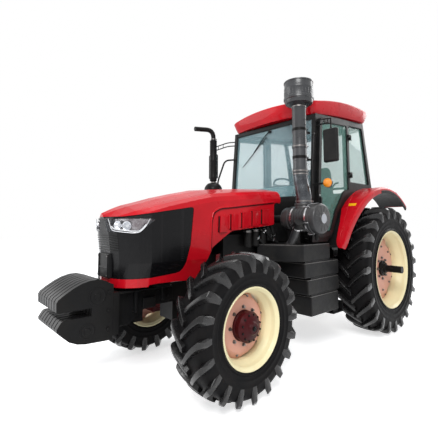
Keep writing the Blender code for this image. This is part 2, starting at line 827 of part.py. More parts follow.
def build_rear_axle():
    case = softened(box((-0.26, at(GEARBOX_BACK), 0.60), (0.26, at(2.98), 1.08)), 0.03, 1)
    forms = [case]
    flange = TRUMPET_END - 0.04
    half = [(0.0, TRUMPET_END), (0.130, TRUMPET_END), (0.130, flange), (0.105, flange - 0.02), (0.145, 0.25), (0.0, 0.20)]
    for side in (1, -1):
        profile = half if side > 0 else [(r, -a) for r, a in reversed(half)]
        forms.append(turned(profile, (0.0, REAR_AXLE_Y, REAR_TYRE_RADIUS), "X", 24))
    lift = box((-0.16, at(2.50), 1.05), (0.16, at(SHAFT_BACK) - SHAFT_RADIUS - SEAT, 1.25))
    forms.append(lift)
    for side in (1, -1):
        post = box((TRUMPET_END - 0.17, at(2.62), REAR_TYRE_RADIUS + 0.05),
                   (TRUMPET_END - 0.09, at(2.78), PLATFORM - 0.04 - SEAT))
        ear = box((LINK_X - 0.055, at(2.70), LINK_PIN_Z - 0.035), (LINK_X - 0.014 - SEAT, at(LINK_PIN_BACK + 0.03), 0.72))
        brace = box((0.20, at(2.70), 0.64), (LINK_X - 0.014 - SEAT, at(2.90), 0.72))
        forms += [sided(form, side) for form in (post, ear, brace)]
    forms.append(drum(0.022, 0.0, 0.10, (0.0, at(2.97), 0.68), "Y", 12))
    forms.append(box((-0.06, at(2.55), 0.36), (0.06, at(2.95), 0.62)))
    forms.append(box((-0.04, at(2.60), 0.40), (0.04, at(3.28), 0.435)))
    forms.append(box((-0.035, at(2.95), 0.96), (-0.012 - SEAT, at(TOP_PIN[0] + 0.03), 1.05)))
    forms.append(box((0.012 + SEAT, at(2.95), 0.96), (0.035, at(TOP_PIN[0] + 0.03), 1.05)))
    node("rear_axle_housing", joined(*forms), "dark_cast")


TOP_PIN = (3.02, 1.00)
TOP_END = (3.10, 1.62)
# Lift linkage pins at rest, as (back, up)
ARM_END = (3.14, 1.20)
ROD_FOOT = (3.34, 0.555)
LINK_END = (3.732, 0.55)
LINK_BALL_RADIUS = 0.046
LINK_BALL_HALF = 0.024
LINK_HALF = 0.014
ROD_PLANE = (LINK_X + LINK_HALF + SEAT, LINK_X + LINK_HALF + SEAT + 0.028)
ARM_PLANE = (ROD_PLANE[1] + SEAT, ROD_PLANE[1] + SEAT + 0.028)


def bar_between(start, end, half_height, low_x, high_x):
    """A flat bar with round ends between two pins given as (back, up)."""
    a = Vector((at(start[0]), start[1]))
    b = Vector((at(end[0]), end[1]))
    direction = math.atan2(b.y - a.y, b.x - a.x)
    points = []
    for centre, first in ((b, -90), (a, 90)):
        for step in range(7):
            angle = direction + math.radians(first + step * 30)
            points.append((centre.x + half_height * math.cos(angle), centre.y + half_height * math.sin(angle)))
    return prism(points, "X", low_x, high_x)


def build_linkage():
    pivot = (0.0, at(SHAFT_BACK), SHAFT_Z)
    arms = [drum(SHAFT_RADIUS, -ARM_PLANE[1], ARM_PLANE[1], pivot, "X", 16)]
    for side in (1, -1):
        arms.append(sided(bar_between((SHAFT_BACK, SHAFT_Z), ARM_END, 0.045, *ARM_PLANE), side))
    node("lift_arms", joined(*arms), "black_metal", pivot)
    for name, side in SIDES:
        rod = sided(bar_between(ARM_END, ROD_FOOT, 0.022, *ROD_PLANE), side)
        node("lift_rod_" + name, rod, "black_metal", (0.0, at(ARM_END[0]), ARM_END[1]))
        link = sided(bar_between((LINK_PIN_BACK, LINK_PIN_Z), LINK_END, 0.038, LINK_X - LINK_HALF, LINK_X + LINK_HALF), side)
        ball = drum(LINK_BALL_RADIUS, LINK_X - LINK_BALL_HALF, LINK_X + LINK_BALL_HALF,
                    (0.0, at(LINK_END[0]), LINK_END[1]), "X", 20)
        link = joined(link, sided(ball, side))
        node("lower_link_" + name, link, "black_metal", (0.0, at(LINK_PIN_BACK), LINK_PIN_Z))
    top = bar_between(TOP_PIN, TOP_END, 0.022, -0.012, 0.012)
    node("top_link", top, "black_metal", (0.0, at(TOP_PIN[0]), TOP_PIN[1]))


# Bonnet

def interpolate(table, back):
    for (start, low), (end, high) in zip(table, table[1:]):
        if back <= end:
            share = max(0.0, (back - start) / (end - start))
            return low + (high - low) * share
    return table[-1][1]


def hood_half(back, inset):
    """Half width of the bonnet at a station, round at the nose."""
    if back >= HOOD_CORNER:
        share = (back - HOOD_CORNER) / (HOOD_BACK - HOOD_CORNER)
        return HOOD_FRONT_HALF + (HOOD_REAR_HALF - HOOD_FRONT_HALF) * share - inset
    nose = HOOD_NOSE + inset
    share = (HOOD_CORNER - back) / (HOOD_CORNER - nose)
    return (HOOD_FRONT_HALF - inset) * (1 - share ** NOSE_POWER) ** (1 / NOSE_POWER)


NOSE_POWER = 2.7
NOSE_ROWS = 6


def hood_form(inset, open_ends=False):
    """The bonnet as one closed form, drawn in by an inset at its front, sides and top."""
    tail = HOOD_BACK + (0.10 if open_ends else 0.0)
    bottom = HOOD_BOTTOM - (0.10 if open_ends else 0.0)
    nose = HOOD_NOSE + inset
    stations = []
    for row in range(NOSE_ROWS):
        angle = math.radians(10 + row * 80 / (NOSE_ROWS - 1))
        stations.append(HOOD_CORNER - (HOOD_CORNER - nose) * math.cos(angle) ** 0.7)
    stations += [-0.20, 0.05, 0.35, 0.70, tail]
    sections = []
    for back in stations:
        half = hood_half(back, inset)
        top = interpolate(HOOD_TOP, back) - inset
        lean = NOSE_LEAN * max(0.0, (HOOD_CORNER - back) / (HOOD_CORNER - nose)) ** 2
        corner = min(HOOD_SHOULDER, half * 0.6)
        tuck = HOOD_TUCK * min(1.0, half / HOOD_FRONT_HALF)
        rim = top - HOOD_CROWN
        side_points = [(half - tuck, bottom), (half, HOOD_BOTTOM + HOOD_TUCK_HEIGHT), (half, 1.25), (half, rim - corner)]
        for step in (1, 2, 3):
            turn = math.radians(step * 30)
            side_points.append((half - corner * (1 - math.cos(turn)), rim - corner * (1 - math.sin(turn))))
        side_points.append(((half - corner) * 0.5, top - HOOD_CROWN * 0.3))
        ring = side_points + [(0.0, top)] + [(-x, z) for x, z in reversed(side_points)]
        section = []
        for x, z in ring:
            forward = lean * min(1.0, max(0.0, (z - 1.15) / 0.35))
            section.append((x, at(back) - forward, z))
        sections.append(section)
    return loft(sections)


def grille_prism(gap):
    corners = [(back, up, radius) for back, up, radius in GRILLE_EDGE]
    outline = side_outline(corners)
    if gap:
        outline = shrunk(outline, gap)
    return prism(outline, "X", -0.6, 0.6)


def shrunk(outline, gap):
    """An outline moved in by a gap, or out where the gap is negative."""
    area = sum(a[0] * b[1] - b[0] * a[1] for a, b in zip(outline, outline[1:] + outline[:1]))
    turn = 1 if area > 0 else -1
    points = []
    count = len(outline)
    for index in range(count):
        here = Vector(outline[index])
        before = (here - Vector(outline[index - 1])).normalized()
        after = (Vector(outline[(index + 1) % count]) - here).normalized()
        normal_before = Vector((-before.y, before.x)) * turn
        normal_after = Vector((-after.y, after.x)) * turn
        middle = (normal_before + normal_after)
        scale = gap / max(0.2, middle.length_squared / 2)
        moved = here + middle * scale
        points.append((moved.x, moved.y))
    return points


# x, up round the left headlamp, seen from the front
LAMP_EDGE = [(0.055, 1.470, 0.01), (0.085, 1.375, 0.02), (0.60, 1.345, 0.0), (0.60, 1.48, 0.0), (0.20, 1.48, 0.02)]
# back, up round the headlamps seen from the side
LAMP_SIDE = [(-1.20, 1.30, 0.0), (-0.72, 1.345, 0.03), (-0.565, 1.475, 0.01), (-0.56, 1.53, 0.0), (-1.20, 1.53, 0.0)]
LAMP_REACH = (-1.10, -0.30)
LAMP_SPAN = 0.62


def lamp_prism(gap):
    """The left headlamp's opening, drawn in by a gap."""
    front = shrunk(rounded(LAMP_EDGE, 3), gap)
    side = shrunk(side_outline(LAMP_SIDE, 3), gap)
    low, high = LAMP_REACH
    return common(prism(front, "Y", at(low), at(high)), prism(side, "X", 0.0, LAMP_SPAN))


GRILLE_RECESS = 0.004
GRILLE_WALL = 0.016
LAMP_PROUD = 0.003
LAMP_DEPTH = 0.045


def side_recess():
    """What is cut out of the bonnet's left side, leaving its louvres standing."""
    outline = side_outline(RECESS_EDGE, 3)
    bars = []
    for index in range(LOUVRE_COUNT):
        back = LOUVRE_FIRST + index * LOUVRE_PITCH
        low = LOUVRE_LOW + index * LOUVRE_STEP
        high = low + LOUVRE_TALL
        bar = [(back, low), (back + LOUVRE_WIDE, low + 0.004), (back + LOUVRE_WIDE + 0.01, high - 0.01),
               (back + LOUVRE_WIDE - 0.005, high + 0.002), (back + 0.003, high - 0.012)]
        bars.append(prism(flat_outline(bar), "X", 0.2, 0.7))
    return cut(prism(outline, "X", 0.3, 0.6), hood_form(RECESS_DEPTH), *bars)


def build_bonnet():
    pivot = (0.0, at(HOOD_PIVOT[0]), HOOD_PIVOT[1])
    ears = []
    for side in (1, -1):
        ear = box((HINGE_X, at(HOOD_PIVOT[0] - 0.03), HOOD_PIVOT[1] - 0.03),
                  (HINGE_X + HINGE_PLATE, at(HOOD_PIVOT[0] + 0.03), HOOD_PIVOT[1] + 0.048))
        ears.append(sided(ear, side))
    room = cut(hood_form(HOOD_WALL, True), *ears)
    shell = cut(hood_form(0.0), room)
    shell = cut(shell, side_recess(), mirrored(side_recess()))
    shell = cut(shell, prism(side_outline(ARCH_EDGE), "X", -0.6, 0.6), grille_prism(0.0))
    node("bonnet", shell, "red_paint", pivot)
    band = common(hood_form(GRILLE_RECESS), grille_prism(SEAT))
    band = cut(band, hood_form(GRILLE_RECESS + GRILLE_WALL, True))
    lamps = [lamp_prism(-SEAT), mirrored(lamp_prism(-SEAT))]
    node("grille", cut(band, *lamps), "black_gloss", pivot)
    for name, side in SIDES:
        lamp = common(hood_form(GRILLE_RECESS - LAMP_PROUD), sided(lamp_prism(0.0), side))
        lamp = cut(lamp, hood_form(GRILLE_RECESS + LAMP_DEPTH, True))
        node("headlamp_" + name, lamp, "lamp_lens", pivot)


# Stacks and tanks

EXHAUST_AT = (-0.25, 0.60)
INTAKE_X = 0.65
CLEANER_BACK = 1.12
CLEANER_Z = 1.49
CLEANER_RADIUS = 0.165
CLEANER_BODY = 0.130
CLEANER_X = (0.45, 0.94)
SOCKET_RADIUS = 0.092
# radius, up of the pre-cleaner on top of the stack
PRECLEANER = [
    (0.0, 3.085), (0.10, 3.085), (0.150, 3.060), (0.162, 3.035), (0.162, 2.875), (0.170, 2.868), (0.170, 2.845),
    (0.162, 2.838), (0.150, 2.800), (0.085, 2.775), (0.0, 2.775),
]
# up, radius, shift out and back along the pipe below it
INTAKE_PIPE = [
    (2.79, 0.078, 0.0), (2.33, 0.078, 0.0), (2.325, 0.085, 0.0), (2.285, 0.085, 0.0), (2.28, 0.078, 0.0),
    (2.05, 0.078, 0.0), (2.045, 0.085, 0.0), (2.005, 0.085, 0.0), (2.00, 0.080, 0.0), (1.88, 0.082, 0.010),
    (1.76, 0.088, 0.022), (1.70, 0.090, 0.024), (1.60, 0.092, 0.024),
]
PIPE_SIDES = 16


def build_exhaust():
    x, back = EXHAUST_AT
    path = [(x, at(back), 1.70), (x, at(back), 2.56), (x, at(back) - 0.22, 2.60)]
    pipe = tube(bent(path, 0.12, 4), 0.030, 2)
    muffler = turned([(0.0, 2.47), (0.035, 2.47), (0.062, 2.42), (0.062, 2.00), (0.045, 1.97), (0.0, 1.97)],
                     (x, at(back), 0.0), "Z", 16)
    collar = turned([(0.0, 1.93), (0.05, 1.93), (0.095, 1.885), (0.10, 1.75), (0.0, 1.75)],
                    (x, at(back), 0.0), "Z", 16)
    stack = cut(joined(muffler, pipe, collar), hood_form(-SEAT))
    node("exhaust", stack, "black_metal", (0.0, at(HOOD_PIVOT[0]), HOOD_PIVOT[1]))


def cleaner_profile():
    """The canister's ribbed body and its wider end cap, as (radius, along X)."""
    inner, outer = CLEANER_X
    body = CLEANER_BODY
    cap = CLEANER_RADIUS
    profile = [(0.0, outer), (cap * 0.35, outer), (cap * 0.45, outer - 0.015), (cap * 0.9, outer - 0.02),
               (cap, outer - 0.04), (cap, outer - 0.15), (body, outer - 0.165)]
    along = outer - 0.20
    while along > inner + 0.06:
        profile += [(body, along), (body + RIB_RISE, along - 0.006), (body + RIB_RISE, along - 0.018), (body, along - 0.024)]
        along -= RIB_PITCH
    return profile + [(body, inner + 0.02), (body * 0.9, inner), (0.0, inner)]


RIB_RISE = 0.008
RIB_PITCH = 0.075
CLEANER_SIDES = 16


def build_air_cleaner():
    inner = CLEANER_X[0]
    can = turned(cleaner_profile(), (0.0, at(CLEANER_BACK), CLEANER_Z), "X", CLEANER_SIDES)
    duct = tube(bent([(inner + 0.02, at(CLEANER_BACK), CLEANER_Z), (0.20, at(CLEANER_BACK), CLEANER_Z),
                      (0.10, at(ENGINE_BACK - 0.02), CLEANER_Z - 0.06)], 0.08, 4), 0.045, 2)
    stand = box((0.50, at(CLEANER_BACK - 0.05), TANK_TOP + SEAT), (0.60, at(CLEANER_BACK + 0.05), CLEANER_Z - 0.10))
    collar = drum(SOCKET_RADIUS + 0.012, 1.55, 1.66, socket_place(), "Z", PIPE_SIDES)
    node("air_cleaner", cut(joined(can, duct, stand, collar), engine_clear(), stack_socket()), "black_plastic")


def engine_clear():
    return box((-0.3, at(0.5), 1.0), (0.3, at(ENGINE_BACK + SEAT), 1.5205))


def socket_place():
    shift = INTAKE_PIPE[-1][2]
    return (INTAKE_X + shift, at(CLEANER_BACK) + shift, 0.0)


def stack_socket():
    return drum(SOCKET_RADIUS + SEAT, INTAKE_PIPE[-1][0] - SEAT, 1.90, socket_place(), "Z", PIPE_SIDES)


def build_intake():
    head = turned(PRECLEANER, (INTAKE_X, at(CLEANER_BACK), 0.0), "Z", PIPE_SIDES)
    sections = []
    for up, radius, shift in reversed(INTAKE_PIPE):
        ring = []
        for step in range(PIPE_SIDES):
            turn = 2 * math.pi * step / PIPE_SIDES
            ring.append((INTAKE_X + shift + radius * math.cos(turn), at(CLEANER_BACK) + shift + radius * math.sin(turn), up))
        sections.append(ring)
    node("intake_stack", joined(head, loft(sections)), "black_metal")


TANK_TOP = 1.21
TANK_INNER = 0.27
TANK_OUTER = 0.75
# back, up round the tiered tank seen from the side
TANK_EDGE = [
    (0.98, 1.21, 0.03), (0.98, 1.02, 0.02), (1.03, 1.00, 0.01), (1.03, 0.84, 0.02), (1.08, 0.82, 0.01),
    (1.08, 0.68, 0.02), (1.13, 0.66, 0.01), (1.14, 0.44, 0.04), (1.56, 0.42, 0.05), (1.70, 0.62, 0.05),
    (1.72, 1.00, 0.04), (1.56, 1.02, 0.02), (1.54, 1.21, 0.03),
]


# x, back round the tank's slanted top tier
TANK_TIER = [(0.30, 0.76), (0.72, 0.965), (TANK_OUTER, 1.00), (TANK_OUTER, 1.30), (0.30, 1.30)]
TANK_TIER_LOW = 1.06


def side_tank(side):
    tier = prism([(x, at(back)) for x, back in TANK_TIER], "Z", TANK_TIER_LOW, TANK_TOP)
    body = joined(prism(side_outline(TANK_EDGE, 2), "X", TANK_INNER, TANK_OUTER), tier)
    bracket = box((0.19 + SEAT, at(1.36), 0.78), (TANK_INNER + 0.02, at(1.50), 0.90))
    return sided(joined(softened(body, 0.02, 1, 60), bracket), side)


def build_tanks():
    foot = Vector((0.635, at(1.01), TANK_TOP - 0.02))
    tip = Vector((0.775, at(0.90), TANK_TOP + 0.235))
    neck = joined(tube([foot, tip], 0.036, 2), tube([foot.lerp(tip, 0.86), foot.lerp(tip, 1.04)], 0.045, 2))
    tank = joined(side_tank(1), neck)
    node("fuel_tank", tank, "black_plastic")
    node("battery_box", side_tank(-1), "black_plastic")


# Cab

FENDER_ANGLES = [FENDER_START + (FENDER_END - FENDER_START) * step / FENDER_STEPS for step in range(FENDER_STEPS + 1)]


def fender_point(angle, radius):
    """World (y, z) of a point round the rear axle, from the front horizontal."""
    turn = math.radians(angle)
    return (REAR_AXLE_Y - radius * math.cos(turn), REAR_TYRE_RADIUS + radius * math.sin(turn))


def angle_above(up):
    """The fender's angle, in degrees, at a height in front of the axle."""
    return math.degrees(math.asin((up - REAR_TYRE_RADIUS) / FENDER_RADIUS))


def fender_arc(radius, first, last):
    return [fender_point(angle, radius) for angle in FENDER_ANGLES if first <= angle <= last]


def build_fender(name, side):
    inner = TUB_HALF + SEAT
    lip = FENDER_RADIUS - FENDER_LIP
    skin = FENDER_RADIUS - FENDER_SKIN
    section = [(inner, skin), (FENDER_HALF - FENDER_SKIN, skin), (FENDER_HALF - FENDER_SKIN, lip), (FENDER_HALF, lip),
               (FENDER_HALF, FENDER_RADIUS - 0.03), (FENDER_HALF - 0.03, FENDER_RADIUS), (inner, FENDER_RADIUS)]
    sections = []
    for angle in FENDER_ANGLES:
        ring = []
        for x, radius in section:
            y, z = fender_point(angle, radius)
            ring.append((x, y, z))
        sections.append(ring)
    node("fender_" + name, sided(loft(sections), side), "red_paint")


SEAT_TOP = 1.58
# back, up round the floor, platform, front wall and rear wall in one bent sheet
TUB_STRIP = [
    (1.30, FLOOR_UNDER), (2.34, FLOOR_UNDER), (2.34, PLATFORM - 0.04), (2.84, PLATFORM - 0.04),
    (2.84, FENDER_TOP - 0.032), (2.80, FENDER_TOP - 0.032), (2.80, PLATFORM), (2.30, PLATFORM),
    (2.30, CAB_FLOOR), (1.33, CAB_FLOOR), (1.33, 1.70), (1.30, 1.70),
]
SEAT_BASE = [
    (2.20, CAB_FLOOR - 0.01), (2.20, SEAT_TOP), (2.62, SEAT_TOP), (2.62, PLATFORM - 0.01), (2.32, PLATFORM - 0.01),
    (2.32, CAB_FLOOR - 0.01),
]


def flat_outline(corners):
    return [(at(back), up) for back, up in corners]


def build_tub():
    arc = fender_arc(FENDER_RADIUS, angle_above(CAB_FLOOR + 0.01), 98)
    front_of_well = arc[0][0] - 0.082
    well = [(front_of_well, FLOOR_UNDER + 0.002)] + arc
    well += [(at(2.835), PLATFORM - 0.02), (at(2.33), FLOOR_UNDER + 0.002)]
    width = TUB_HALF - 0.004
    forms = [prism(flat_outline(TUB_STRIP), "X", -width, width), prism(flat_outline(SEAT_BASE), "X", -0.25, 0.25)]
    for side in (1, -1):
        forms.append(sided(prism(well, "X", TUB_HALF - TUB_WALL, TUB_HALF), side))
        sill = box((TUB_HALF - TUB_WALL - 0.004, at(1.304), FLOOR_UNDER + 0.005),
                   (CAB_HALF - CAB_WALL - SEAT, front_of_well - 0.02, CAB_FLOOR - 0.004))
        forms.append(sided(sill, side))
    node("cab_tub", joined(*forms), "black_plastic")


def along_top(back):
    share = (back - CAB_FRONT_HIGH[0]) / (CAB_REAR_HIGH[0] - CAB_FRONT_HIGH[0])
    return CAB_FRONT_HIGH[1] + share * (CAB_REAR_HIGH[1] - CAB_FRONT_HIGH[1])


def front_back(up):
    share = (up - CAB_FRONT_LOW[1]) / (CAB_FRONT_HIGH[1] - CAB_FRONT_LOW[1])
    return CAB_FRONT_LOW[0] + share * (CAB_FRONT_HIGH[0] - CAB_FRONT_LOW[0])


def rear_back(up):
    share = (up - CAB_REAR_LOW[1]) / (CAB_REAR_HIGH[1] - CAB_REAR_LOW[1])
    return CAB_REAR_LOW[0] + share * (CAB_REAR_HIGH[0] - CAB_REAR_LOW[0])


DOOR_LAP = 0.018
DOOR_LOW = 1.265
# angle round the rear axle, clearance from the fender, corner radius of the door's rear lower edge
DOOR_SWEEP = [(24.0, 0.085, 0.08), (38.0, 0.105, 0.12), (53.0, 0.128, 0.08)]


def door_edge(grow):
    """The door opening, grown outwards by a margin; back, up, radius."""
    front_low = front_back(DOOR_LOW) + PILLAR
    front_high = front_back(2.68) + PILLAR
    sweep = []
    for angle, clearance, radius in DOOR_SWEEP:
        y, up = fender_point(angle, FENDER_RADIUS + clearance)
        sweep.append((y - FRONT_AXLE_Y, up, radius))
    corners = [(front_low, DOOR_LOW + 0.03, 0.05)] + sweep + [
        (B_PILLAR_BACK - PILLAR / 2, FENDER_TOP - 0.085, 0.03),
        (B_PILLAR_BACK - PILLAR / 2, along_top(B_PILLAR_BACK) - PILLAR, 0.05),
        (front_high, along_top(1.45) - PILLAR, 0.05),
    ]
    return shrunk(side_outline(corners, 2), -grow)


REAR_SILL = FENDER_TOP + 0.045


def quarter_edge(gap):
    corners = [
        (B_PILLAR_BACK + PILLAR / 2, REAR_SILL, 0.03),
        (rear_back(REAR_SILL) - PILLAR, REAR_SILL, 0.03),
        (rear_back(2.70) - PILLAR, along_top(2.5) - PILLAR, 0.03),
        (B_PILLAR_BACK + PILLAR / 2, along_top(B_PILLAR_BACK) - PILLAR, 0.03),
    ]
    return shrunk(side_outline(corners, 2), gap)


HEADER_LOW = 2.70
TAIL_LOW = 2.76
COWL_TOP = 1.76


def frame_outline():
    """The cab's side frame, resting on the fender."""
    low = fender_arc(FENDER_RADIUS + SEAT, angle_above(CAB_SILL + 0.04), 92)
    start = [(at(CAB_FRONT_LOW[0]), CAB_FRONT_LOW[1]), (low[0][0] - 0.12, CAB_FRONT_LOW[1])]
    high = [(at(rear_back(low[-1][1])), low[-1][1])]
    corners = [CAB_REAR_HIGH, CAB_FRONT_HIGH]
    return start + low + high + [(at(back), up) for back, up in corners]


def build_cab_frame():
    inner = CAB_HALF - CAB_WALL
    forms = []
    for side in (1, -1):
        plate = prism(frame_outline(), "X", inner, CAB_HALF)
        past = (inner - 0.1, CAB_HALF + 0.1)
        plate = cut(plate, prism(door_edge(0.0), "X", *past), prism(quarter_edge(0.0), "X", *past))
        forms.append(sided(plate, side))
        for z in DOOR_HINGE_HEIGHTS:
            ear = box((inner + 0.02, at(DOOR_HINGE_BACK - 0.005), z + 0.002),
                      (DOOR_HINGE_X, at(DOOR_HINGE_BACK + 0.035), z + 0.033))
            knuckle = drum(0.014, z, z + 0.035, (DOOR_HINGE_X, at(DOOR_HINGE_BACK), 0.0), "Z", 12)
            forms += [sided(ear, side), sided(knuckle, side)]
    width = inner + 0.01
    header = [(front_back(HEADER_LOW) + 0.006, HEADER_LOW), (1.47, HEADER_LOW), (1.478, along_top(1.48) - 0.002),
              (1.404, along_top(1.402) - 0.002)]
    forms.append(prism([(at(b), z) for b, z in header], "X", -width, width))
    tail = [(2.52, TAIL_LOW), (rear_back(TAIL_LOW) - 0.003, TAIL_LOW), (2.595, along_top(2.595) - 0.002),
            (2.52, along_top(2.52) - 0.002)]
    forms.append(prism([(at(b), z) for b, z in tail], "X", -width, width))
    low = [(front_back(1.70) + 0.002, 1.7005), (1.40, 1.7005), (1.40, COWL_TOP), (front_back(COWL_TOP) + 0.002, COWL_TOP)]
    forms.append(prism([(at(b), z) for b, z in low], "X", -width, width))
    foot = CAB_REAR_LOW[1] + 0.005
    sill = [(2.74, foot), (rear_back(foot) - 0.002, foot), (rear_back(REAR_SILL) - 0.002, REAR_SILL), (2.74, REAR_SILL)]
    forms.append(prism([(at(b), z) for b, z in sill], "X", -width, width))
    node("cab_frame", joined(*forms), "black_plastic")


def slanted(low, high, depth):
    """A pane's side outline between two (back, up) points."""
    return [(at(low[0]), low[1]), (at(low[0] + depth), low[1]), (at(high[0] + depth), high[1]), (at(high[0]), high[1])]


def build_cab_glass():
    inner = CAB_HALF - CAB_WALL - SEAT
    top = HEADER_LOW - SEAT
    low = COWL_TOP + SEAT
    front = slanted((front_back(low) + 0.02, low), (front_back(top) + 0.02, top), GLASS)
    node("windscreen", prism(front, "X", -inner, inner), "clear_glass")
    foot = REAR_SILL + SEAT
    top = TAIL_LOW - SEAT
    rear = slanted((rear_back(foot) - 0.03, foot), (rear_back(top) - 0.03, top), GLASS)
    node("rear_window", prism(rear, "X", -inner, inner), "clear_glass")
    for name, side in SIDES:
        pane = prism(quarter_edge(SEAT), "X", CAB_HALF - 0.030, CAB_HALF - 0.024)
        node("quarter_glass_" + name, sided(pane, side), "clear_glass")


def build_door(name, side):
    pivot = (side * DOOR_HINGE_X, at(DOOR_HINGE_BACK), 0.0)
    low = CAB_HALF + SWING_GAP
    high = low + DOOR_THICKNESS
    window = shrunk(door_edge(0.0), 0.030)
    pane = shrunk(door_edge(0.0), 0.030 + SEAT)
    plate = cut(prism(door_edge(DOOR_LAP), "X", low, high), prism(window, "X", low - 0.1, high + 0.1))
    forms = [plate]
    for z in DOOR_HINGE_HEIGHTS:
        base = z + 0.035 + SEAT
        leaf = box((low + 0.002, at(DOOR_HINGE_BACK - 0.045), base + 0.002),
                   (DOOR_HINGE_X + 0.008, at(DOOR_HINGE_BACK), base + 0.033))
        knuckle = drum(0.014, base, base + 0.035, (DOOR_HINGE_X, at(DOOR_HINGE_BACK), 0.0), "Z", 12)
        forms += [leaf, knuckle]
    stile = front_back(1.68) + PILLAR
    handle = box((high - 0.002, at(stile - 0.005), 1.62), (high + 0.028, at(stile + 0.022), 1.74))
    forms.append(handle)
    node("door_" + name, sided(joined(*forms), side), "black_plastic", pivot)
    glass = prism(pane, "X", low + 0.010, low + 0.016)
    node("door_glass_" + name, sided(glass, side), "clear_glass", pivot)


def roof_section(up, grow, wide):
    """One level of the roof, bowed at its front and wider at its rear."""
    front = CAB_FRONT_HIGH[0] - 0.03 - grow
    rear = CAB_REAR_HIGH[0] + 0.05 + grow
    fw = ROOF_FRONT_HALF + wide
    rw = ROOF_REAR_HALF + wide
    half = [(0.0, front - 0.06), (fw * 0.55, front - 0.04), (fw - 0.08, front), (fw - 0.01, front + 0.05),
            (rw, rear - 0.10), (rw - 0.05, rear - 0.02), (rw - 0.15, rear)]
    ring = half + [(-x, back) for x, back in reversed(half[1:])]
    section = []
    for x, back in ring:
        section.append((x, at(back), up + along_top(back)))
    return section


def build_roof():
    node("roof", loft([roof_section(SEAT + up, grow, wide) for up, grow, wide in ROOF_LEVELS]), "red_paint")


def build_seat():
    cushion = softened(box((-0.25, at(2.05), SEAT_TOP + SEAT), (0.25, at(2.52), SEAT_TOP + 0.12)), 0.03, 2)
    rest = [(2.42, SEAT_TOP + 0.06), (2.54, SEAT_TOP + 0.06), (2.62, 2.28), (2.53, 2.28)]
    back = softened(prism(flat_outline(rest), "X", -0.23, 0.23), 0.03, 2)
    node("seat", joined(cushion, back), "seat_fabric")


WHEEL_HUB = (1.72, 1.93)
WHEEL_TILT = math.radians(35)


def build_controls():
    column = [(1.3303, CAB_FLOOR + SEAT), (1.46, CAB_FLOOR + SEAT), (1.50, 1.66), (1.62, 1.78), (1.56, 1.88),
              (1.43, 1.86), (1.43, 1.66), (1.3303, 1.66)]
    tower = prism([(at(b), z) for b, z in column], "X", -0.16, 0.16)
    direction = Vector((0.0, math.sin(WHEEL_TILT), math.cos(WHEEL_TILT)))
    hub = Vector((0.0, at(WHEEL_HUB[0]), WHEEL_HUB[1]))
    shaft = tube([hub - direction * 0.24, hub - direction * (0.02 + SEAT)], 0.022, 2)
    node("dash", joined(softened(tower, 0.02, 1), shaft), "black_plastic")
    wheel = turned([(0.205, 0.0), (0.195, 0.013), (0.178, 0.008), (0.178, -0.008), (0.195, -0.013)],
                   (0.0, 0.0, 0.0), "Z", 20, hollow=True)
    boss = drum(0.04, -0.02, 0.012, (0.0, 0.0, 0.0), "Z", 16)
    spokes = []
    for turn in (90, 210, 330):
        angle = math.radians(turn)
        spokes.append(tube([(0.0, 0.0, 0.0), (0.190 * math.cos(angle), 0.190 * math.sin(angle), 0.0)], 0.009, 2))
    form = joined(wheel, boss, *spokes)
    form.data.transform(Matrix.Translation(hub) @ Matrix.Rotation(-WHEEL_TILT, 4, "X"))
    node("steering_wheel", form, "black_plastic", hub)


MIRROR_BACK = 1.24


def build_mirror(name, side):
    plate = box((CAB_HALF + SEAT, at(front_back(2.60) + 0.005), 2.55), (CAB_HALF + 0.012, at(front_back(2.60) + 0.035), 2.64))
    reach = CAB_HALF + 0.29
    path = [(CAB_HALF + 0.010, at(1.40), 2.60), (CAB_HALF + 0.09, at(1.36), 2.60),
            (reach, at(MIRROR_BACK), 2.54), (reach, at(MIRROR_BACK), 2.30)]
    arm = tube(bent(path, 0.06, 4), 0.011, 2)
    head = softened(box((reach - 0.065, at(MIRROR_BACK - 0.035), 2.11), (reach + 0.08, at(MIRROR_BACK + 0.012), 2.46)), 0.02, 1)
    node("mirror_" + name, sided(joined(head, arm, plate), side), "black_plastic")


def main():
    for name, side in SIDES:
        build_front_wheel(name, side)
        build_rear_wheel(name, side)
        build_knuckle(name, side)
        build_fender(name, side)
        build_door(name, side)
        build_mirror(name, side)
    build_front_axle()
    build_steering_rod()
    build_front_support()
    build_weights()
    build_engine()
    build_radiator()
    build_transmission()
    build_rear_axle()
    build_linkage()
    build_bonnet()
    build_exhaust()
    build_air_cleaner()
    build_intake()
    build_tanks()
    build_tub()
    build_cab_frame()
    build_cab_glass()
    build_roof()
    build_seat()
    build_controls()


main()
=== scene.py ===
"""The farm tractor's look: materials, treaded tyres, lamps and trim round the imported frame."""
import json
import math

import bmesh
import bpy
from mathutils import Matrix, Vector


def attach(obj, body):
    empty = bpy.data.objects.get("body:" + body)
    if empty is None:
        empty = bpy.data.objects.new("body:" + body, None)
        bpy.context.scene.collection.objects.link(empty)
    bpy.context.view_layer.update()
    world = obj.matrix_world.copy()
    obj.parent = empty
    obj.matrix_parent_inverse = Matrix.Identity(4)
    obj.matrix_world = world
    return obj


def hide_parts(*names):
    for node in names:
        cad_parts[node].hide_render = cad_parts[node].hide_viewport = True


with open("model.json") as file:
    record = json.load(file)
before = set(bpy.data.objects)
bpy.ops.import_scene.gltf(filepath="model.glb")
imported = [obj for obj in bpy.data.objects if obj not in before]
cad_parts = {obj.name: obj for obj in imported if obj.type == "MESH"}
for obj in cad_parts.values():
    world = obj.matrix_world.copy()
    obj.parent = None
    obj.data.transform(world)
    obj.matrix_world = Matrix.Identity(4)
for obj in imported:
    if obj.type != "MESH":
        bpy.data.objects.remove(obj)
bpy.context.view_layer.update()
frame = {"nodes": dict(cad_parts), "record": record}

NODES = frame["nodes"]
SIDES = (("left", 1), ("right", -1))

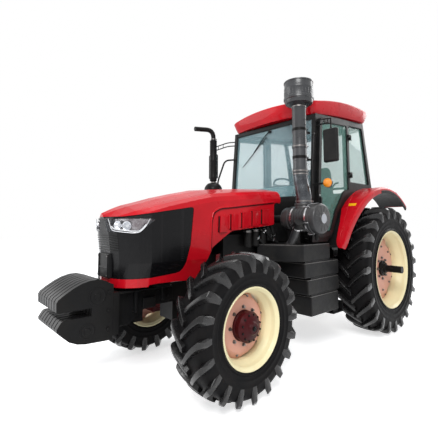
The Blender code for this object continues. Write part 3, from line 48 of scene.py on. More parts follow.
# The photograph's view, solved from the wheels, in metres and radians
CAMERA_PLACE = Vector((2.905, -3.322, 1.448))
CAMERA_YAW = 0.836
CAMERA_RISE = 0.092
CAMERA_LENS = 27.96
CAMERA_SHIFT = (-0.0106, -0.0657)

FRONT_AXLE_Y = -1.242
REAR_AXLE_Y = 1.458
FRONT_WHEEL_X = 0.8
REAR_WHEEL_X = 0.78
FRONT_TYRE_RADIUS = 0.6
REAR_TYRE_RADIUS = 0.832
CAB_HALF = 0.69
DOOR_FACE = 0.7265
FENDER_RADIUS = 1.1
FENDER_INNER = 0.5503
FENDER_OUTER = 0.95
# back, up at the foot of the cab's front edge, then its lean back over its height
SCREEN_FOOT = (1.27, 1.225)
SCREEN_LEAN = 0.13
SCREEN_TALL = 1.525
# back, up at the front of the cab's top edge, then the run for one unit of rise
CAB_TOP = (1.4, 2.75)
CAB_TOP_RUN = 12.0


def at(back):
    """World Y of a distance behind the front axle."""
    return FRONT_AXLE_Y + back


def front_back(up):
    """How far back the cab's front edge is at a height."""
    return SCREEN_FOOT[0] + (up - SCREEN_FOOT[1]) * SCREEN_LEAN / SCREEN_TALL


def along_top(back):
    """The height of the cab's top edge."""
    return CAB_TOP[1] + (back - CAB_TOP[0]) / CAB_TOP_RUN


# Camera, light and floor

def add_camera():
    data = bpy.data.cameras.new("camera")
    camera = bpy.data.objects.new("camera", data)
    bpy.context.scene.collection.objects.link(camera)
    forward = Vector((
        -math.sin(CAMERA_YAW) * math.cos(CAMERA_RISE),
        math.cos(CAMERA_YAW) * math.cos(CAMERA_RISE),
        math.sin(CAMERA_RISE),
    ))
    camera.location = CAMERA_PLACE
    camera.rotation_euler = forward.to_track_quat("-Z", "Y").to_euler()
    data.lens = CAMERA_LENS
    data.shift_x = CAMERA_SHIFT[0]
    data.shift_y = CAMERA_SHIFT[1]
    data.clip_end = 100.0
    bpy.context.scene.camera = camera


def add_area(name, place, target, size, power):
    data = bpy.data.lights.new(name, "AREA")
    data.shape = "DISK"
    data.size = size
    data.energy = power
    lamp = bpy.data.objects.new(name, data)
    bpy.context.scene.collection.objects.link(lamp)
    lamp.location = place
    aim = Vector(target) - Vector(place)
    lamp.rotation_euler = aim.to_track_quat("-Z", "Y").to_euler()


def add_lights():
    middle = (0.0, 0.0, 1.2)
    add_area("key_light", (4.5, -5.5, 6.5), middle, 4.0, 520.0)
    add_area("fill_light", (-5.5, -5.0, 3.5), middle, 5.0, 150.0)
    add_area("back_light", (2.0, 7.0, 5.0), middle, 4.0, 200.0)
    add_area("top_light", (0.0, 0.0, 8.0), middle, 5.0, 200.0)


def seen_directly(tree):
    """One for rays from the camera, and for those mirrored or let through on their way."""
    path = tree.nodes.new("ShaderNodeLightPath")
    total = path.outputs["Is Camera Ray"]
    for name in ("Is Glossy Ray", "Is Transmission Ray"):
        larger = tree.nodes.new("ShaderNodeMath")
        larger.operation = "MAXIMUM"
        tree.links.new(total, larger.inputs[0])
        tree.links.new(path.outputs[name], larger.inputs[1])
        total = larger.outputs[0]
    return total


def emitter(tree, kind, colour, strength):
    made = tree.nodes.new(kind)
    made.inputs["Color"].default_value = (*colour, 1.0)
    made.inputs["Strength"].default_value = strength
    return made


def add_world():
    world = bpy.data.worlds.new("studio")
    bpy.context.scene.world = world
    world.use_nodes = True
    tree = world.node_tree
    tree.nodes.clear()
    seen = seen_directly(tree)
    ambient = emitter(tree, "ShaderNodeBackground", (0.92, 0.95, 1.0), 0.48)
    backdrop = emitter(tree, "ShaderNodeBackground", (1.0, 1.0, 1.0), 1.0)
    mix = tree.nodes.new("ShaderNodeMixShader")
    output = tree.nodes.new("ShaderNodeOutputWorld")
    tree.links.new(seen, mix.inputs[0])
    tree.links.new(ambient.outputs[0], mix.inputs[1])
    tree.links.new(backdrop.outputs[0], mix.inputs[2])
    tree.links.new(mix.outputs[0], output.inputs["Surface"])


def add_floor():
    bpy.ops.mesh.primitive_plane_add(size=60.0, location=(0.0, 0.0, 0.0))
    floor = bpy.context.object
    floor.name = "floor"
    made = bpy.data.materials.new("pale_floor")
    made.use_nodes = True
    tree = made.node_tree
    tree.nodes.clear()
    output = tree.nodes.new("ShaderNodeOutputMaterial")
    diffuse = tree.nodes.new("ShaderNodeBsdfDiffuse")
    diffuse.inputs["Color"].default_value = (0.93, 0.93, 0.93, 1.0)
    glow = emitter(tree, "ShaderNodeEmission", (1.0, 1.0, 1.0), 0.62)
    both = tree.nodes.new("ShaderNodeAddShader")
    mix = tree.nodes.new("ShaderNodeMixShader")
    tree.links.new(diffuse.outputs[0], both.inputs[0])
    tree.links.new(glow.outputs[0], both.inputs[1])
    tree.links.new(seen_directly(tree), mix.inputs[0])
    tree.links.new(diffuse.outputs[0], mix.inputs[1])
    tree.links.new(both.outputs[0], mix.inputs[2])
    tree.links.new(mix.outputs[0], output.inputs["Surface"])
    floor.data.materials.append(made)


# Materials

class Shader:
    """A node material under construction."""

    def __init__(self, name, roughness, metallic=0.0):
        self.material = bpy.data.materials.new(name)
        self.material.use_nodes = True
        self.tree = self.material.node_tree
        self.principled = self.tree.nodes["Principled BSDF"]
        self.set("Roughness", roughness)
        self.set("Metallic", metallic)
        self.place = self.node("ShaderNodeTexCoord").outputs["Object"]

    def set(self, socket, value):
        self.principled.inputs[socket].default_value = value

    def node(self, kind, values=()):
        made = self.tree.nodes.new(kind)
        for socket, value in values:
            made.inputs[socket].default_value = value
        return made

    def link(self, start, end):
        self.tree.links.new(start, end)

    def noise(self, scale, detail=3.0, roughness=0.55):
        values = (("Scale", scale), ("Detail", detail), ("Roughness", roughness))
        made = self.node("ShaderNodeTexNoise", values)
        self.link(self.place, made.inputs["Vector"])
        return made.outputs["Fac"]

    def spread(self, value, low, high, out_low=0.0, out_high=1.0):
        values = (("From Min", low), ("From Max", high), ("To Min", out_low), ("To Max", out_high))
        made = self.node("ShaderNodeMapRange", values)
        self.link(value, made.inputs["Value"])
        return made.outputs["Result"]

    def times(self, first, second):
        made = self.node("ShaderNodeMath")
        made.operation = "MULTIPLY"
        self.link(first, made.inputs[0])
        if isinstance(second, float):
            made.inputs[1].default_value = second
        else:
            self.link(second, made.inputs[1])
        return made.outputs[0]

    def blend(self, factor, first, second):
        made = self.node("ShaderNodeMix")
        made.data_type = "RGBA"
        self.link(factor, made.inputs["Factor"])
        for socket, colour in ((made.inputs["A"], first), (made.inputs["B"], second)):
            if isinstance(colour, tuple):
                socket.default_value = (*colour, 1.0)
            else:
                self.link(colour, socket)
        return made.outputs["Result"]

    def colour(self, value):
        self.link(value, self.principled.inputs["Base Color"])

    def rough(self, value):
        self.link(value, self.principled.inputs["Roughness"])

    def bump(self, height, strength, distance):
        made = self.node("ShaderNodeBump", (("Strength", strength), ("Distance", distance)))
        self.link(height, made.inputs["Height"])
        previous = self.principled.inputs["Normal"].links
        if previous:
            self.link(previous[0].from_socket, made.inputs["Normal"])
        self.link(made.outputs["Normal"], self.principled.inputs["Normal"])

    def low_down(self, top):
        """One near the ground, falling to zero at a height."""
        split = self.node("ShaderNodeSeparateXYZ")
        self.link(self.place, split.inputs[0])
        return self.spread(split.outputs["Z"], 0.0, top, 1.0, 0.0)


def painted(name, colour, shade, roughness, coat=0.0, grain=700.0, grain_depth=0.0001, dust=0.08,
            specular=0.12):
    """Paint with slow tone changes, faint orange peel and a little dust low down."""
    shader = Shader(name, roughness)
    tone = shader.blend(shader.spread(shader.noise(2.2), 0.35, 0.65), colour, shade)
    worn = shader.times(shader.spread(shader.noise(30.0, 6.0), 0.55, 0.8), shader.low_down(1.2))
    shader.colour(shader.blend(shader.times(worn, dust), tone, (0.2, 0.17, 0.15)))
    shader.rough(shader.spread(shader.noise(9.0, 5.0), 0.3, 0.7, roughness * 0.85, roughness * 1.15))
    shader.bump(shader.noise(grain, 2.0), 0.2, grain_depth)
    shader.set("Coat Weight", coat)
    shader.set("Coat Roughness", 0.05)
    shader.set("Specular IOR Level", specular)
    return shader.material


def moulded(name, colour, shade, roughness, grain=420.0, depth=0.0004, specular=0.15):
    """Textured plastic with a pebbled grain."""
    shader = Shader(name, roughness)
    shader.colour(shader.blend(shader.spread(shader.noise(7.0, 5.0), 0.4, 0.62), colour, shade))
    shader.rough(shader.spread(shader.noise(25.0, 4.0), 0.35, 0.65, roughness * 0.85, roughness * 1.15))
    cells = shader.node("ShaderNodeTexVoronoi")
    cells.inputs["Scale"].default_value = grain
    shader.link(shader.place, cells.inputs["Vector"])
    shader.bump(cells.outputs["Distance"], 0.25, depth)
    shader.set("Specular IOR Level", specular)
    return shader.material


RUBBER_TONES = ((0.006, 0.006, 0.0065), (0.01, 0.009, 0.009))


def rubber(name, base_level=1.0, roughness=(0.42, 0.58), specular=0.05):
    """Tyre rubber, with dust in its hollows."""
    shader = Shader(name, 0.55)
    tones = [tuple(base_level * part for part in tone) for tone in RUBBER_TONES]
    base = shader.blend(shader.spread(shader.noise(9.0, 6.0), 0.35, 0.7), *tones)
    dusty = shader.spread(shader.noise(20.0, 8.0), 0.58, 0.85, 0.0, 0.06)
    shader.colour(shader.blend(dusty, base, (0.06, 0.052, 0.046)))
    shader.rough(shader.spread(shader.noise(30.0, 4.0), 0.3, 0.7, roughness[0], roughness[1]))
    shader.bump(shader.noise(140.0, 4.0), 0.2, 0.0006)
    shader.set("Specular IOR Level", specular)
    return shader.material


def glass(name, tint, alpha):
    """Tinted safety glass with slow changes of tone."""
    shader = Shader(name, 0.03)
    shader.colour(shader.blend(shader.spread(shader.noise(1.2, 1.0), 0.4, 0.6), tint,
                               tuple(c * 0.9 for c in tint)))
    shader.rough(shader.spread(shader.noise(3.0, 2.0), 0.4, 0.7, 0.02, 0.05))
    shader.set("Alpha", alpha)
    shader.set("IOR", 1.45)
    return shader.material


def metal(name, colour, shade, roughness):
    shader = Shader(name, roughness, 1.0)
    shader.colour(shader.blend(shader.spread(shader.noise(16.0, 5.0), 0.35, 0.65), colour, shade))
    shader.rough(shader.spread(shader.noise(80.0, 4.0), 0.3, 0.7, roughness * 0.7, roughness * 1.3))
    shader.bump(shader.noise(300.0, 2.0), 0.12, 0.0002)
    return shader.material


def woven(name, colour, shade):
    """Seat cloth with a fine crossed weave."""
    shader = Shader(name, 0.9)
    waves = []
    for direction in ("X", "Z"):
        wave = shader.node("ShaderNodeTexWave")
        wave.bands_direction = direction
        wave.inputs["Scale"].default_value = 190.0
        shader.link(shader.place, wave.inputs["Vector"])
        waves.append(wave.outputs["Fac"])
    weave = shader.times(waves[0], waves[1])
    shader.colour(shader.blend(weave, colour, shade))
    shader.bump(weave, 0.4, 0.0008)
    shader.set("Sheen Weight", 0.3)
    return shader.material


def lens(name, tint, alpha, ribs=220.0):
    """A moulded lamp lens with fine ribs."""
    shader = Shader(name, 0.08)
    shader.colour(shader.blend(shader.noise(30.0), tint, tuple(c * 0.8 for c in tint)))
    wave = shader.node("ShaderNodeTexWave")
    wave.inputs["Scale"].default_value = ribs
    shader.link(shader.place, wave.inputs["Vector"])
    shader.bump(wave.outputs["Fac"], 0.3, 0.0008)
    shader.set("Alpha", alpha)
    return shader.material


def meshed(name, colour, hole, roughness):
    """A glossy black panel with fine upright mesh openings."""
    shader = Shader(name, roughness)
    bricks = shader.node("ShaderNodeTexBrick", (
        ("Scale", 26.0), ("Mortar Size", 0.012), ("Mortar", (*colour, 1.0)),
        ("Color1", (*hole, 1.0)), ("Color2", (*hole, 1.0)),
    ))
    turn = shader.node("ShaderNodeMapping", (("Rotation", (math.pi / 2, 0.0, 0.0)),))
    shader.link(shader.place, turn.inputs["Vector"])
    shader.link(turn.outputs["Vector"], bricks.inputs["Vector"])
    shader.colour(bricks.outputs["Color"])
    shader.rough(shader.spread(shader.noise(12.0), 0.3, 0.7, roughness * 0.8, roughness * 1.2))
    shader.bump(bricks.outputs["Fac"], 0.25, 0.0008)
    shader.set("Specular IOR Level", 0.18)
    return shader.material


LOOKS = {
    "red_paint": painted("red_body_paint", (0.52, 0.004, 0.012), (0.42, 0.003, 0.009), 0.3, coat=0.22),
    "black_gloss": meshed("gloss_black_mesh", (0.01, 0.009, 0.01), (0.003, 0.003, 0.0035), 0.22),
    "black_plastic": moulded("grained_black_plastic", (0.007, 0.007, 0.0075), (0.012, 0.0115, 0.011), 0.4),
    "black_metal": painted("satin_black_steel", (0.006, 0.006, 0.0065), (0.01, 0.0095, 0.009), 0.34,
                           grain=260.0, dust=0.02, specular=0.1),
    "dark_cast": painted("painted_casting", (0.008, 0.008, 0.0085), (0.013, 0.012, 0.011), 0.5, grain=180.0,
                         grain_depth=0.0008, dust=0.04),
    "hub_red": painted("maroon_axle_paint", (0.055, 0.003, 0.005), (0.03, 0.002, 0.003), 0.38, grain=220.0,
                       grain_depth=0.0005, dust=0.04),
    "rim_cream": painted("cream_rim_paint", (0.84, 0.78, 0.49), (0.8, 0.7, 0.43), 0.34, coat=0.1),
    "tyre_rubber": rubber("tyre_black_rubber"),
    "clear_glass": glass("blue_tinted_glass", (0.4, 0.66, 0.72), 0.19),
    "lamp_lens": lens("clear_lamp_lens", (0.3, 0.31, 0.33), 0.14),
    "seat_fabric": woven("grey_seat_cloth", (0.02, 0.02, 0.024), (0.075, 0.075, 0.082)),
    "bright_steel": metal("bright_machined_steel", (0.6, 0.6, 0.61), (0.45, 0.45, 0.46), 0.28),
}
LUG_RUBBER = rubber("worn_lug_rubber", 1.1, (0.18, 0.36), 0.36)
SIDE_GLASS = glass("green_tinted_glass", (0.2, 0.44, 0.37), 0.27)
CAP_GREY = painted("bare_grey_cap", (0.42, 0.43, 0.46), (0.3, 0.31, 0.33), 0.42)
STACK_PAINT = painted("satin_grey_stack_paint", (0.04, 0.042, 0.046), (0.026, 0.027, 0.029), 0.3,
                      grain=300.0, dust=0.02, specular=0.5)
# Light grey for the lines along the tank's edges: a painted highlight.
EDGE_HIGHLIGHT_GREY = painted("grey_painted_edge_highlight", (0.075, 0.07, 0.067), (0.035, 0.033, 0.031), 0.4, specular=0.4)
# The wheel discs' salmon tone is a painted warm reflection of the red bodywork on the cream disc.
DISC_RED_REFLECTION = painted("salmon_disc_painted_reflection", (0.7, 0.37, 0.29), (0.62, 0.3, 0.22), 0.42, coat=0.1)
CHROME = metal("chrome_trim", (0.85, 0.86, 0.88), (0.75, 0.76, 0.8), 0.08)
DARK_CHROME = metal("dark_polished_duct", (0.105, 0.112, 0.12), (0.055, 0.058, 0.064), 0.24)
AMBER = lens("amber_lens", (0.95, 0.3, 0.01), 0.95)
WHITE_LENS = lens("white_lens", (0.85, 0.86, 0.88), 0.9)
LAMP_SILVER = metal("clouded_lamp_silver", (0.42, 0.4, 0.41), (0.2, 0.16, 0.17), 0.22)
RED_LENS = lens("red_lens", (0.55, 0.008, 0.01), 0.95)
REFLECTOR = painted("yellow_reflector", (0.9, 0.46, 0.01), (0.8, 0.38, 0.01), 0.25, coat=0.5)
BOLT = metal("bolt_steel", (0.22, 0.21, 0.2), (0.12, 0.11, 0.11), 0.38)
MIRROR_FACE = metal("mirror_silver", (0.9, 0.91, 0.92), (0.86, 0.87, 0.88), 0.03)
CANISTER = moulded("canister_plastic", (0.022, 0.022, 0.024), (0.035, 0.034, 0.034), 0.36, 420.0, 0.0003,
                   0.4)
SEAL = moulded("window_seal_rubber", (0.006, 0.006, 0.006), (0.01, 0.01, 0.01), 0.55, 600.0, 0.0002)
TEAL = moulded("grey_teal_plastic", (0.1, 0.17, 0.17), (0.13, 0.21, 0.21), 0.5, 300.0)
LINER = moulded("grey_headliner", (0.14, 0.145, 0.15), (0.18, 0.185, 0.19), 0.8, 500.0)


def dress_nodes():
    for row in frame["record"]["subparts"]:
        obj = NODES[row["node"]]
        obj.data.materials.clear()
        side_pane = row["node"].startswith(("door_glass", "quarter_glass"))
        obj.data.materials.append(SIDE_GLASS if side_pane else LOOKS[row["material_slot"]])


# Mesh building

X_AXIS = Vector((1.0, 0.0, 0.0))
Y_AXIS = Vector((0.0, 1.0, 0.0))
Z_AXIS = Vector((0.0, 0.0, 1.0))


def deliver(bm, name, slot, bevel=0.0, smooth=35.0, replaces=(), look=None, body="chassis"):
    """A finished piece from a bmesh, riding on a body, in its slot's own look unless another is given."""
    bmesh.ops.recalc_face_normals(bm, faces=bm.faces)
    mesh = bpy.data.meshes.new(name)
    bm.to_mesh(mesh)
    bm.free()
    obj = bpy.data.objects.new(name, mesh)
    bpy.context.scene.collection.objects.link(obj)
    mesh.materials.append(look or LOOKS[slot])
    mesh.shade_smooth()
    mesh.set_sharp_from_angle(angle=math.radians(smooth))
    if bevel:
        soften(obj, bevel)
    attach(obj, body)
    if replaces:
        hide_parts(*replaces)
    return obj


def soften(obj, width, segments=2, angle=32.0):
    """Rounds the sharp edges of an object with a modifier."""
    bevel = obj.modifiers.new("soft_edges", "BEVEL")
    bevel.width = width
    bevel.segments = segments
    bevel.limit_method = "ANGLE"
    bevel.angle_limit = math.radians(angle)
    bevel.harden_normals = True


def across_from(direction):
    """Two directions at right angles to one."""
    first = direction.orthogonal().normalized()
    return first, direction.cross(first)


def lathe(bm, profile, segments, place, axis=X_AXIS, hollow=False):
    """A profile of (radius, along) turned about an axis through a place."""
    first, second = across_from(axis)
    rings = []
    for radius, along in profile:
        centre = Vector(place) + axis * along
        if radius < 1e-6:
            rings.append([bm.verts.new(centre)])
            continue
        ring = []
        for step in range(segments):
            turn = 2 * math.pi * step / segments
            ring.append(bm.verts.new(centre + (first * math.cos(turn) + second * math.sin(turn)) * radius))
        rings.append(ring)
    join_rings(bm, rings, hollow)


def solid(bm, profile, segments, place, axis=X_AXIS):
    """A turned solid, whose (radius, along) profile is closed onto the axis at both ends."""
    start = [(0.0, profile[0][1])]
    end = [(0.0, profile[-1][1])]
    lathe(bm, start + profile + end, segments, place, axis)


def join_rings(bm, rings, closed=False):
    """Faces between rings, where a ring of one vertex is a point."""
    pairs = list(zip(rings, rings[1:]))
    if closed:
        pairs.append((rings[-1], rings[0]))
    for lower, upper in pairs:
        count = max(len(lower), len(upper))
        for step in range(count):
            after = (step + 1) % count
            corners = [lower[step % len(lower)], lower[after % len(lower)],
                       upper[after % len(upper)], upper[step % len(upper)]]
            corners = list(dict.fromkeys(corners))
            if len(corners) > 2:
                bm.faces.new(corners)


def block(bm, low, high):
    size = Vector(high) - Vector(low)
    centre = (Vector(high) + Vector(low)) / 2
    matrix = Matrix.Translation(centre) @ Matrix.Diagonal((*size, 1.0))
    bmesh.ops.create_cube(bm, size=1.0, matrix=matrix)


def slab(bm, low, high, side=1):
    """A block between two (x, back, up) corners, on one side."""
    block(bm, *places([low, high], side))


def places(points, side=1):
    """World places of (x, back, up) points, on one side."""
    return [(side * x, at(back), up) for x, back, up in points]


def prism(bm, outline, low, high, side=1):
    """A (back, up) outline pulled across the tractor from low to high, on one side."""
    rings = [[bm.verts.new((side * x, at(back), up)) for back, up in outline] for x in (low, high)]
    skin_over(bm, rings)


def skin_over(bm, rings):
    """Faces between rings, and one over each end."""
    join_rings(bm, rings)
    bm.faces.new(rings[0])
    bm.faces.new(rings[-1])


def oblong(first, last):
    """The corners of a rectangle, from two opposite ones."""
    return [first, (last[0], first[1]), last, (first[0], last[1])]


def rounded(points, radius, steps=5, closed=False):
    """A path with its corners rounded."""
    points = [Vector(point) for point in points]
    count = len(points)
    path = []
    for index, here in enumerate(points):
        if not closed and index in (0, count - 1):
            path.append(here)
            continue
        back = points[index - 1] - here
        ahead = points[(index + 1) % count] - here
        reach = min(radius, back.length * 0.45, ahead.length * 0.45)
        start = here + back.normalized() * reach
        end = here + ahead.normalized() * reach
        for step in range(steps + 1):
            t = step / steps
            path.append(start * (1 - t) ** 2 + here * 2 * t * (1 - t) + end * t ** 2)
    return path


def sweep(bm, path, radius, sides=10, closed=False, up=None):
    """A round bar along a path; radius may be a pair, along and across the up direction."""
    tall, wide = radius if isinstance(radius, tuple) else (radius, radius)
    points = [Vector(point) for point in path]
    count = len(points)
    rings = []
    for index, point in enumerate(points):
        before = points[index - 1] if index or closed else point
        after = points[(index + 1) % count] if index < count - 1 or closed else point
        tangent = (after - before).normalized()
        up = tangent.orthogonal() if up is None else Vector(up)
        up = (up - tangent * up.dot(tangent)).normalized()
        across = tangent.cross(up)
        ring = []
        for step in range(sides):
            turn = 2 * math.pi * (step + 0.5) / sides
            ring.append(bm.verts.new(point + up * tall * math.cos(turn) + across * wide * math.sin(turn)))
        rings.append(ring)
    join_rings(bm, rings, closed)
    if not closed:
        bm.faces.new(rings[0])
        bm.faces.new(rings[-1])


def ring_of(centre, axis, radius, count, phase=0.0):
    """Points evenly round a circle."""
    first, second = across_from(axis)
    spots = []
    for index in range(count):
        turn = 2 * math.pi * (index + phase) / count
        spots.append(Vector(centre) + (first * math.cos(turn) + second * math.sin(turn)) * radius)
    return spots


def bolt(bm, place, direction, radius, height):
    """A washer and a hexagon head standing on a point, along a direction."""
    direction = Vector(direction).normalized()
    solid(bm, [(radius * 1.35, 0.0), (radius * 1.35, height * 0.18)], 16, place, direction)
    solid(bm, [(radius, 0.0), (radius, height * 0.85), (radius * 0.85, height)], 6, place,
          direction)


def band(bm, place, axis, radius, width, thick=0.003):
    """A clamp band round a pipe, with its screw."""
    half = width / 2
    lathe(bm, oblong((radius, -half), (radius + thick, half)), 48, place, axis, hollow=True)
    first, second = across_from(axis)
    screw = Vector(place) + first * (radius + thick + 0.006)
    solid(bm, [(0.006, -0.018), (0.006, 0.018)], 8, screw, second)


# Tyres

WHEELS = {
    # lugs a side, their height, sweep, width at the base and at the top, then the disc's rows
    "front": {
        "x": FRONT_WHEEL_X, "y": FRONT_AXLE_Y, "radius": FRONT_TYRE_RADIUS, "width": 0.345,
        "rim": 0.33, "rim_width": 0.33,
        "lugs": 20, "height": 0.036, "sweep": 0.17, "base": 0.074, "top": 0.042,
        "disc": [(0.1255, 0.045), (0.214, 0.045), (0.222, 0.042), (0.245, 0.022)],
        "disc_edge": (0.2655, 0.004),
        "notches": 6, "notch": 0.032,
    },
    "rear": {
        "x": REAR_WHEEL_X, "y": REAR_AXLE_Y, "radius": REAR_TYRE_RADIUS, "width": 0.43,
        "rim": 0.508, "rim_width": 0.41,
        "lugs": 23, "height": 0.042, "sweep": 0.21, "base": 0.088, "top": 0.05,
        "disc": [(0.1055, 0.055), (0.325, 0.055), (0.338, 0.05), (0.375, 0.026)],
        "disc_edge": (0.4435, 0.006),
        "notches": 8, "notch": 0.05,
    },
}
RIM_LIP = 0.015
DISC_STEPS = 144
DISC_THICK = 0.013
# share of the pitch that a notch of the disc takes on each side of its middle
NOTCH_SHARE = 0.22
# share of the half width, drop of the base and of the top, width share along one lug
LUG_STATIONS = [
    (-0.05, 0.006, 0.001, 0.8),
    (0.06, 0.006, 0.0, 1.0),
    (0.25, 0.008, 0.0, 1.0),
    (0.45, 0.012, 0.002, 1.02),
    (0.65, 0.018, 0.005, 1.08),
    (0.82, 0.03, 0.01, 1.16),
    (0.93, 0.05, 0.016, 1.24),
    (0.972, 0.085, 0.042, 1.1),
    (0.985, 0.125, 0.085, 0.8),
]


# drop from the crown, share of the half width
SHOULDER = [(0.0, 0.0), (0.004, 0.35), (0.013, 0.65), (0.028, 0.84), (0.052, 0.93)]
# share of the wall's height, share of the half width, down to the bead
SIDEWALL = [
    (0.66, 0.965), (0.52, 0.975), (0.5, 0.985), (0.46, 0.985), (0.44, 0.972), (0.3, 0.955), (0.28, 0.965),
    (0.25, 0.962), (0.23, 0.94), (0.15, 0.915), (0.13, 0.925), (0.11, 0.92),
]


def tyre_profile(wheel):
    """The tyre under its lugs, as a closed loop of (radius, along)."""
    half = wheel["width"] / 2
    rim = wheel["rim"]
    crown = wheel["radius"] - wheel["height"]
    wall = crown - rim
    bead_half = wheel["rim_width"] / 2 - RIM_LIP - 0.005
    outer = [(crown - drop, half * share) for drop, share in SHOULDER]
    outer += [(rim + wall * level, half * share) for level, share in SIDEWALL]
    outer += [
        (rim + 0.016, wheel["rim_width"] / 2 + 0.006),
        (rim + 0.006, wheel["rim_width"] / 2), (rim - 0.022, bead_half), (rim - 0.02, bead_half - 0.03),
        (rim + wall * 0.3, half * 0.84), (crown - 0.035, half * 0.7), (crown - 0.022, 0.0),
    ]
    return outer + [(radius, -along) for radius, along in reversed(outer[1:-1])]


def lug_rings(bm, wheel, start, tread_side, side, place):
    """The four-cornered rings along one lug."""
    radius = wheel["radius"]
    half = wheel["width"] / 2
    crown = radius - wheel["height"]
    rings = []
    for share, base_drop, top_drop, wide in LUG_STATIONS:
        angle = start - wheel["sweep"] * max(0.0, share) ** 0.85 / radius
        lateral = tread_side * half * share
        ring = []
        for reach, across in (
            (crown - base_drop, -wheel["base"]), (radius - top_drop, -wheel["top"]),
            (radius - top_drop, wheel["top"]), (crown - base_drop, wheel["base"]),
        ):
            turn = angle + across * wide / 2 / radius
            proud = tread_side * 0.01 if share > 0.95 and abs(across) == wheel["top"] else 0.0
            point = Vector((side * (lateral + proud), -reach * math.sin(turn), reach * math.cos(turn)))
            ring.append(bm.verts.new(point + place))
        rings.append(ring)
    return rings


def wheel_place(kind, side):
    wheel = WHEELS[kind]
    return Vector((side * wheel["x"], wheel["y"], wheel["radius"]))


def add_tyre(kind, name, side):
    wheel = WHEELS[kind]
    body = name + "_" + kind + "_wheel"
    node = kind + "_tyre_" + name
    place = wheel_place(kind, side)
    bm = bmesh.new()
    lathe(bm, tyre_profile(wheel), 120, place, X_AXIS, hollow=True)
    deliver(bm, kind + "_tyre_body_" + name, "tyre_rubber", smooth=50.0, replaces=(node,), body=body)
    bm = bmesh.new()
    pitch = 2 * math.pi / wheel["lugs"]
    lowest = math.pi - wheel["top"] / 2 / wheel["radius"]
    for index in range(wheel["lugs"]):
        for tread_side, phase in ((1, 0.0), (-1, 0.5)):
            rings = lug_rings(bm, wheel, lowest + (index + phase) * pitch, tread_side, side, place)
            skin_over(bm, rings)
    deliver(bm, kind + "_tyre_lugs_" + name, "tyre_rubber", 0.005, 30.0, (node,), look=LUG_RUBBER, body=body)


# Rims, discs and hubs

def barrel_profile(wheel):
    """The rolled rim as a closed loop of (radius, along)."""
    half = wheel["rim_width"] / 2
    rim = wheel["rim"]
    bead = rim - 0.025
    well = rim - 0.055
    well_half = half * 0.3
    inner = [
        (rim, half - 0.005), (rim - 0.004, half), (rim - 0.011, half), (rim - 0.015, half - 0.006),
        (bead - 0.008, half - 0.022), (bead - 0.01, half - 0.03), (bead - 0.01, half - 0.06),
        (bead - 0.014, half - 0.068), (well - 0.008, well_half + 0.014), (well - 0.01, well_half + 0.004),
        (well - 0.01, -well_half), (bead - 0.01, -half + 0.05), (bead - 0.01, -half + 0.022),
        (rim - 0.012, -half),
        (rim, -half),
    ]
    outer = [
        (rim, -half + 0.015), (bead, -half + 0.019), (bead, -half + 0.055), (well, -well_half),
        (well, well_half),
        (bead, half - 0.055), (bead, half - 0.019), (rim, half - 0.015),
    ]
    return inner + outer


def add_rim(kind, name, side):
    wheel = WHEELS[kind]
    body = name + "_" + kind + "_wheel"
    node = kind + "_rim_" + name
    place = wheel_place(kind, side)
    outward = X_AXIS * side
    bm = bmesh.new()
    lathe(bm, barrel_profile(wheel), 96, place, outward, hollow=True)
    deliver(bm, kind + "_rim_barrel_" + name, "rim_cream", replaces=(node,), body=body)
    bm = bmesh.new()
    lobed_disc(bm, wheel, place, outward)
    # The disc takes the salmon tone of a painted red reflection.
    deliver(bm, kind + "_rim_disc_" + name, "rim_cream", 0.002, replaces=(node,), look=DISC_RED_REFLECTION, body=body)
    bm = bmesh.new()
    stem = place + outward * 0.05 + Vector((0.0, 0.0, wheel["rim"] - 0.075))
    solid(bm, [(0.006, -0.01), (0.005, 0.045)], 12, stem, outward)
    deliver(bm, kind + "_valve_stem_" + name, "bright_steel", look=BOLT, body=body)


def lobed_disc(bm, wheel, place, outward):
    """The pressed disc, welded to the barrel at its lobes and notched between them."""
    edge_radius, edge_along = wheel["disc_edge"]
    first, second = across_from(outward)
    layers = []
    for depth in (0.0, DISC_THICK):
        layers.append([(radius, along - depth)
                       for radius, along in wheel["disc"] + [(edge_radius, edge_along)]])
    loop = layers[0] + list(reversed(layers[1]))
    rings = []
    for radius, along in loop:
        ring = []
        for step in range(DISC_STEPS):
            turn = 2 * math.pi * step / DISC_STEPS
            nearest = (turn * wheel["notches"] / (2 * math.pi) + 0.5) % 1.0 - 0.5
            dip = 0.0
            if radius == edge_radius:
                dip = wheel["notch"] * max(0.0, 1.0 - (nearest / NOTCH_SHARE) ** 2)
            reach = radius - dip
            spoke = first * math.cos(turn) + second * math.sin(turn)
            ring.append(bm.verts.new(place + outward * along + spoke * reach))
        rings.append(ring)
    join_rings(bm, rings, closed=True)


def add_front_hub(name, side):
    place = wheel_place("front", side)
    outward = X_AXIS * side
    profile = [(0.041, 0.172), (0.046, 0.168), (0.052, 0.157), (0.06, 0.153), (0.092, 0.146),
               (0.098, 0.141), (0.116, 0.122), (0.1245, 0.114), (0.1248, 0.095), (0.119, 0.09),
        (0.119, 0.066), (0.1248, 0.06), (0.1248, 0.031), (0.155, 0.0307), (0.155, 0.009), (0.125, 0.001),
        (0.115, -0.062)]
    bm = bmesh.new()
    solid(bm, profile, 72, place, outward)
    body = name + "_front_wheel"
    deliver(bm, "front_hub_casting_" + name, "hub_red", replaces=("front_hub_" + name,), body=body)
    bm = bmesh.new()
    for spot in ring_of(place + outward * 0.138, outward, 0.103, 12):
        bolt(bm, spot, outward, 0.007, 0.01)
    bolt(bm, place + outward * 0.171, outward, 0.016, 0.012)
    deliver(bm, "front_hub_bolts_" + name, "black_metal", body=body)


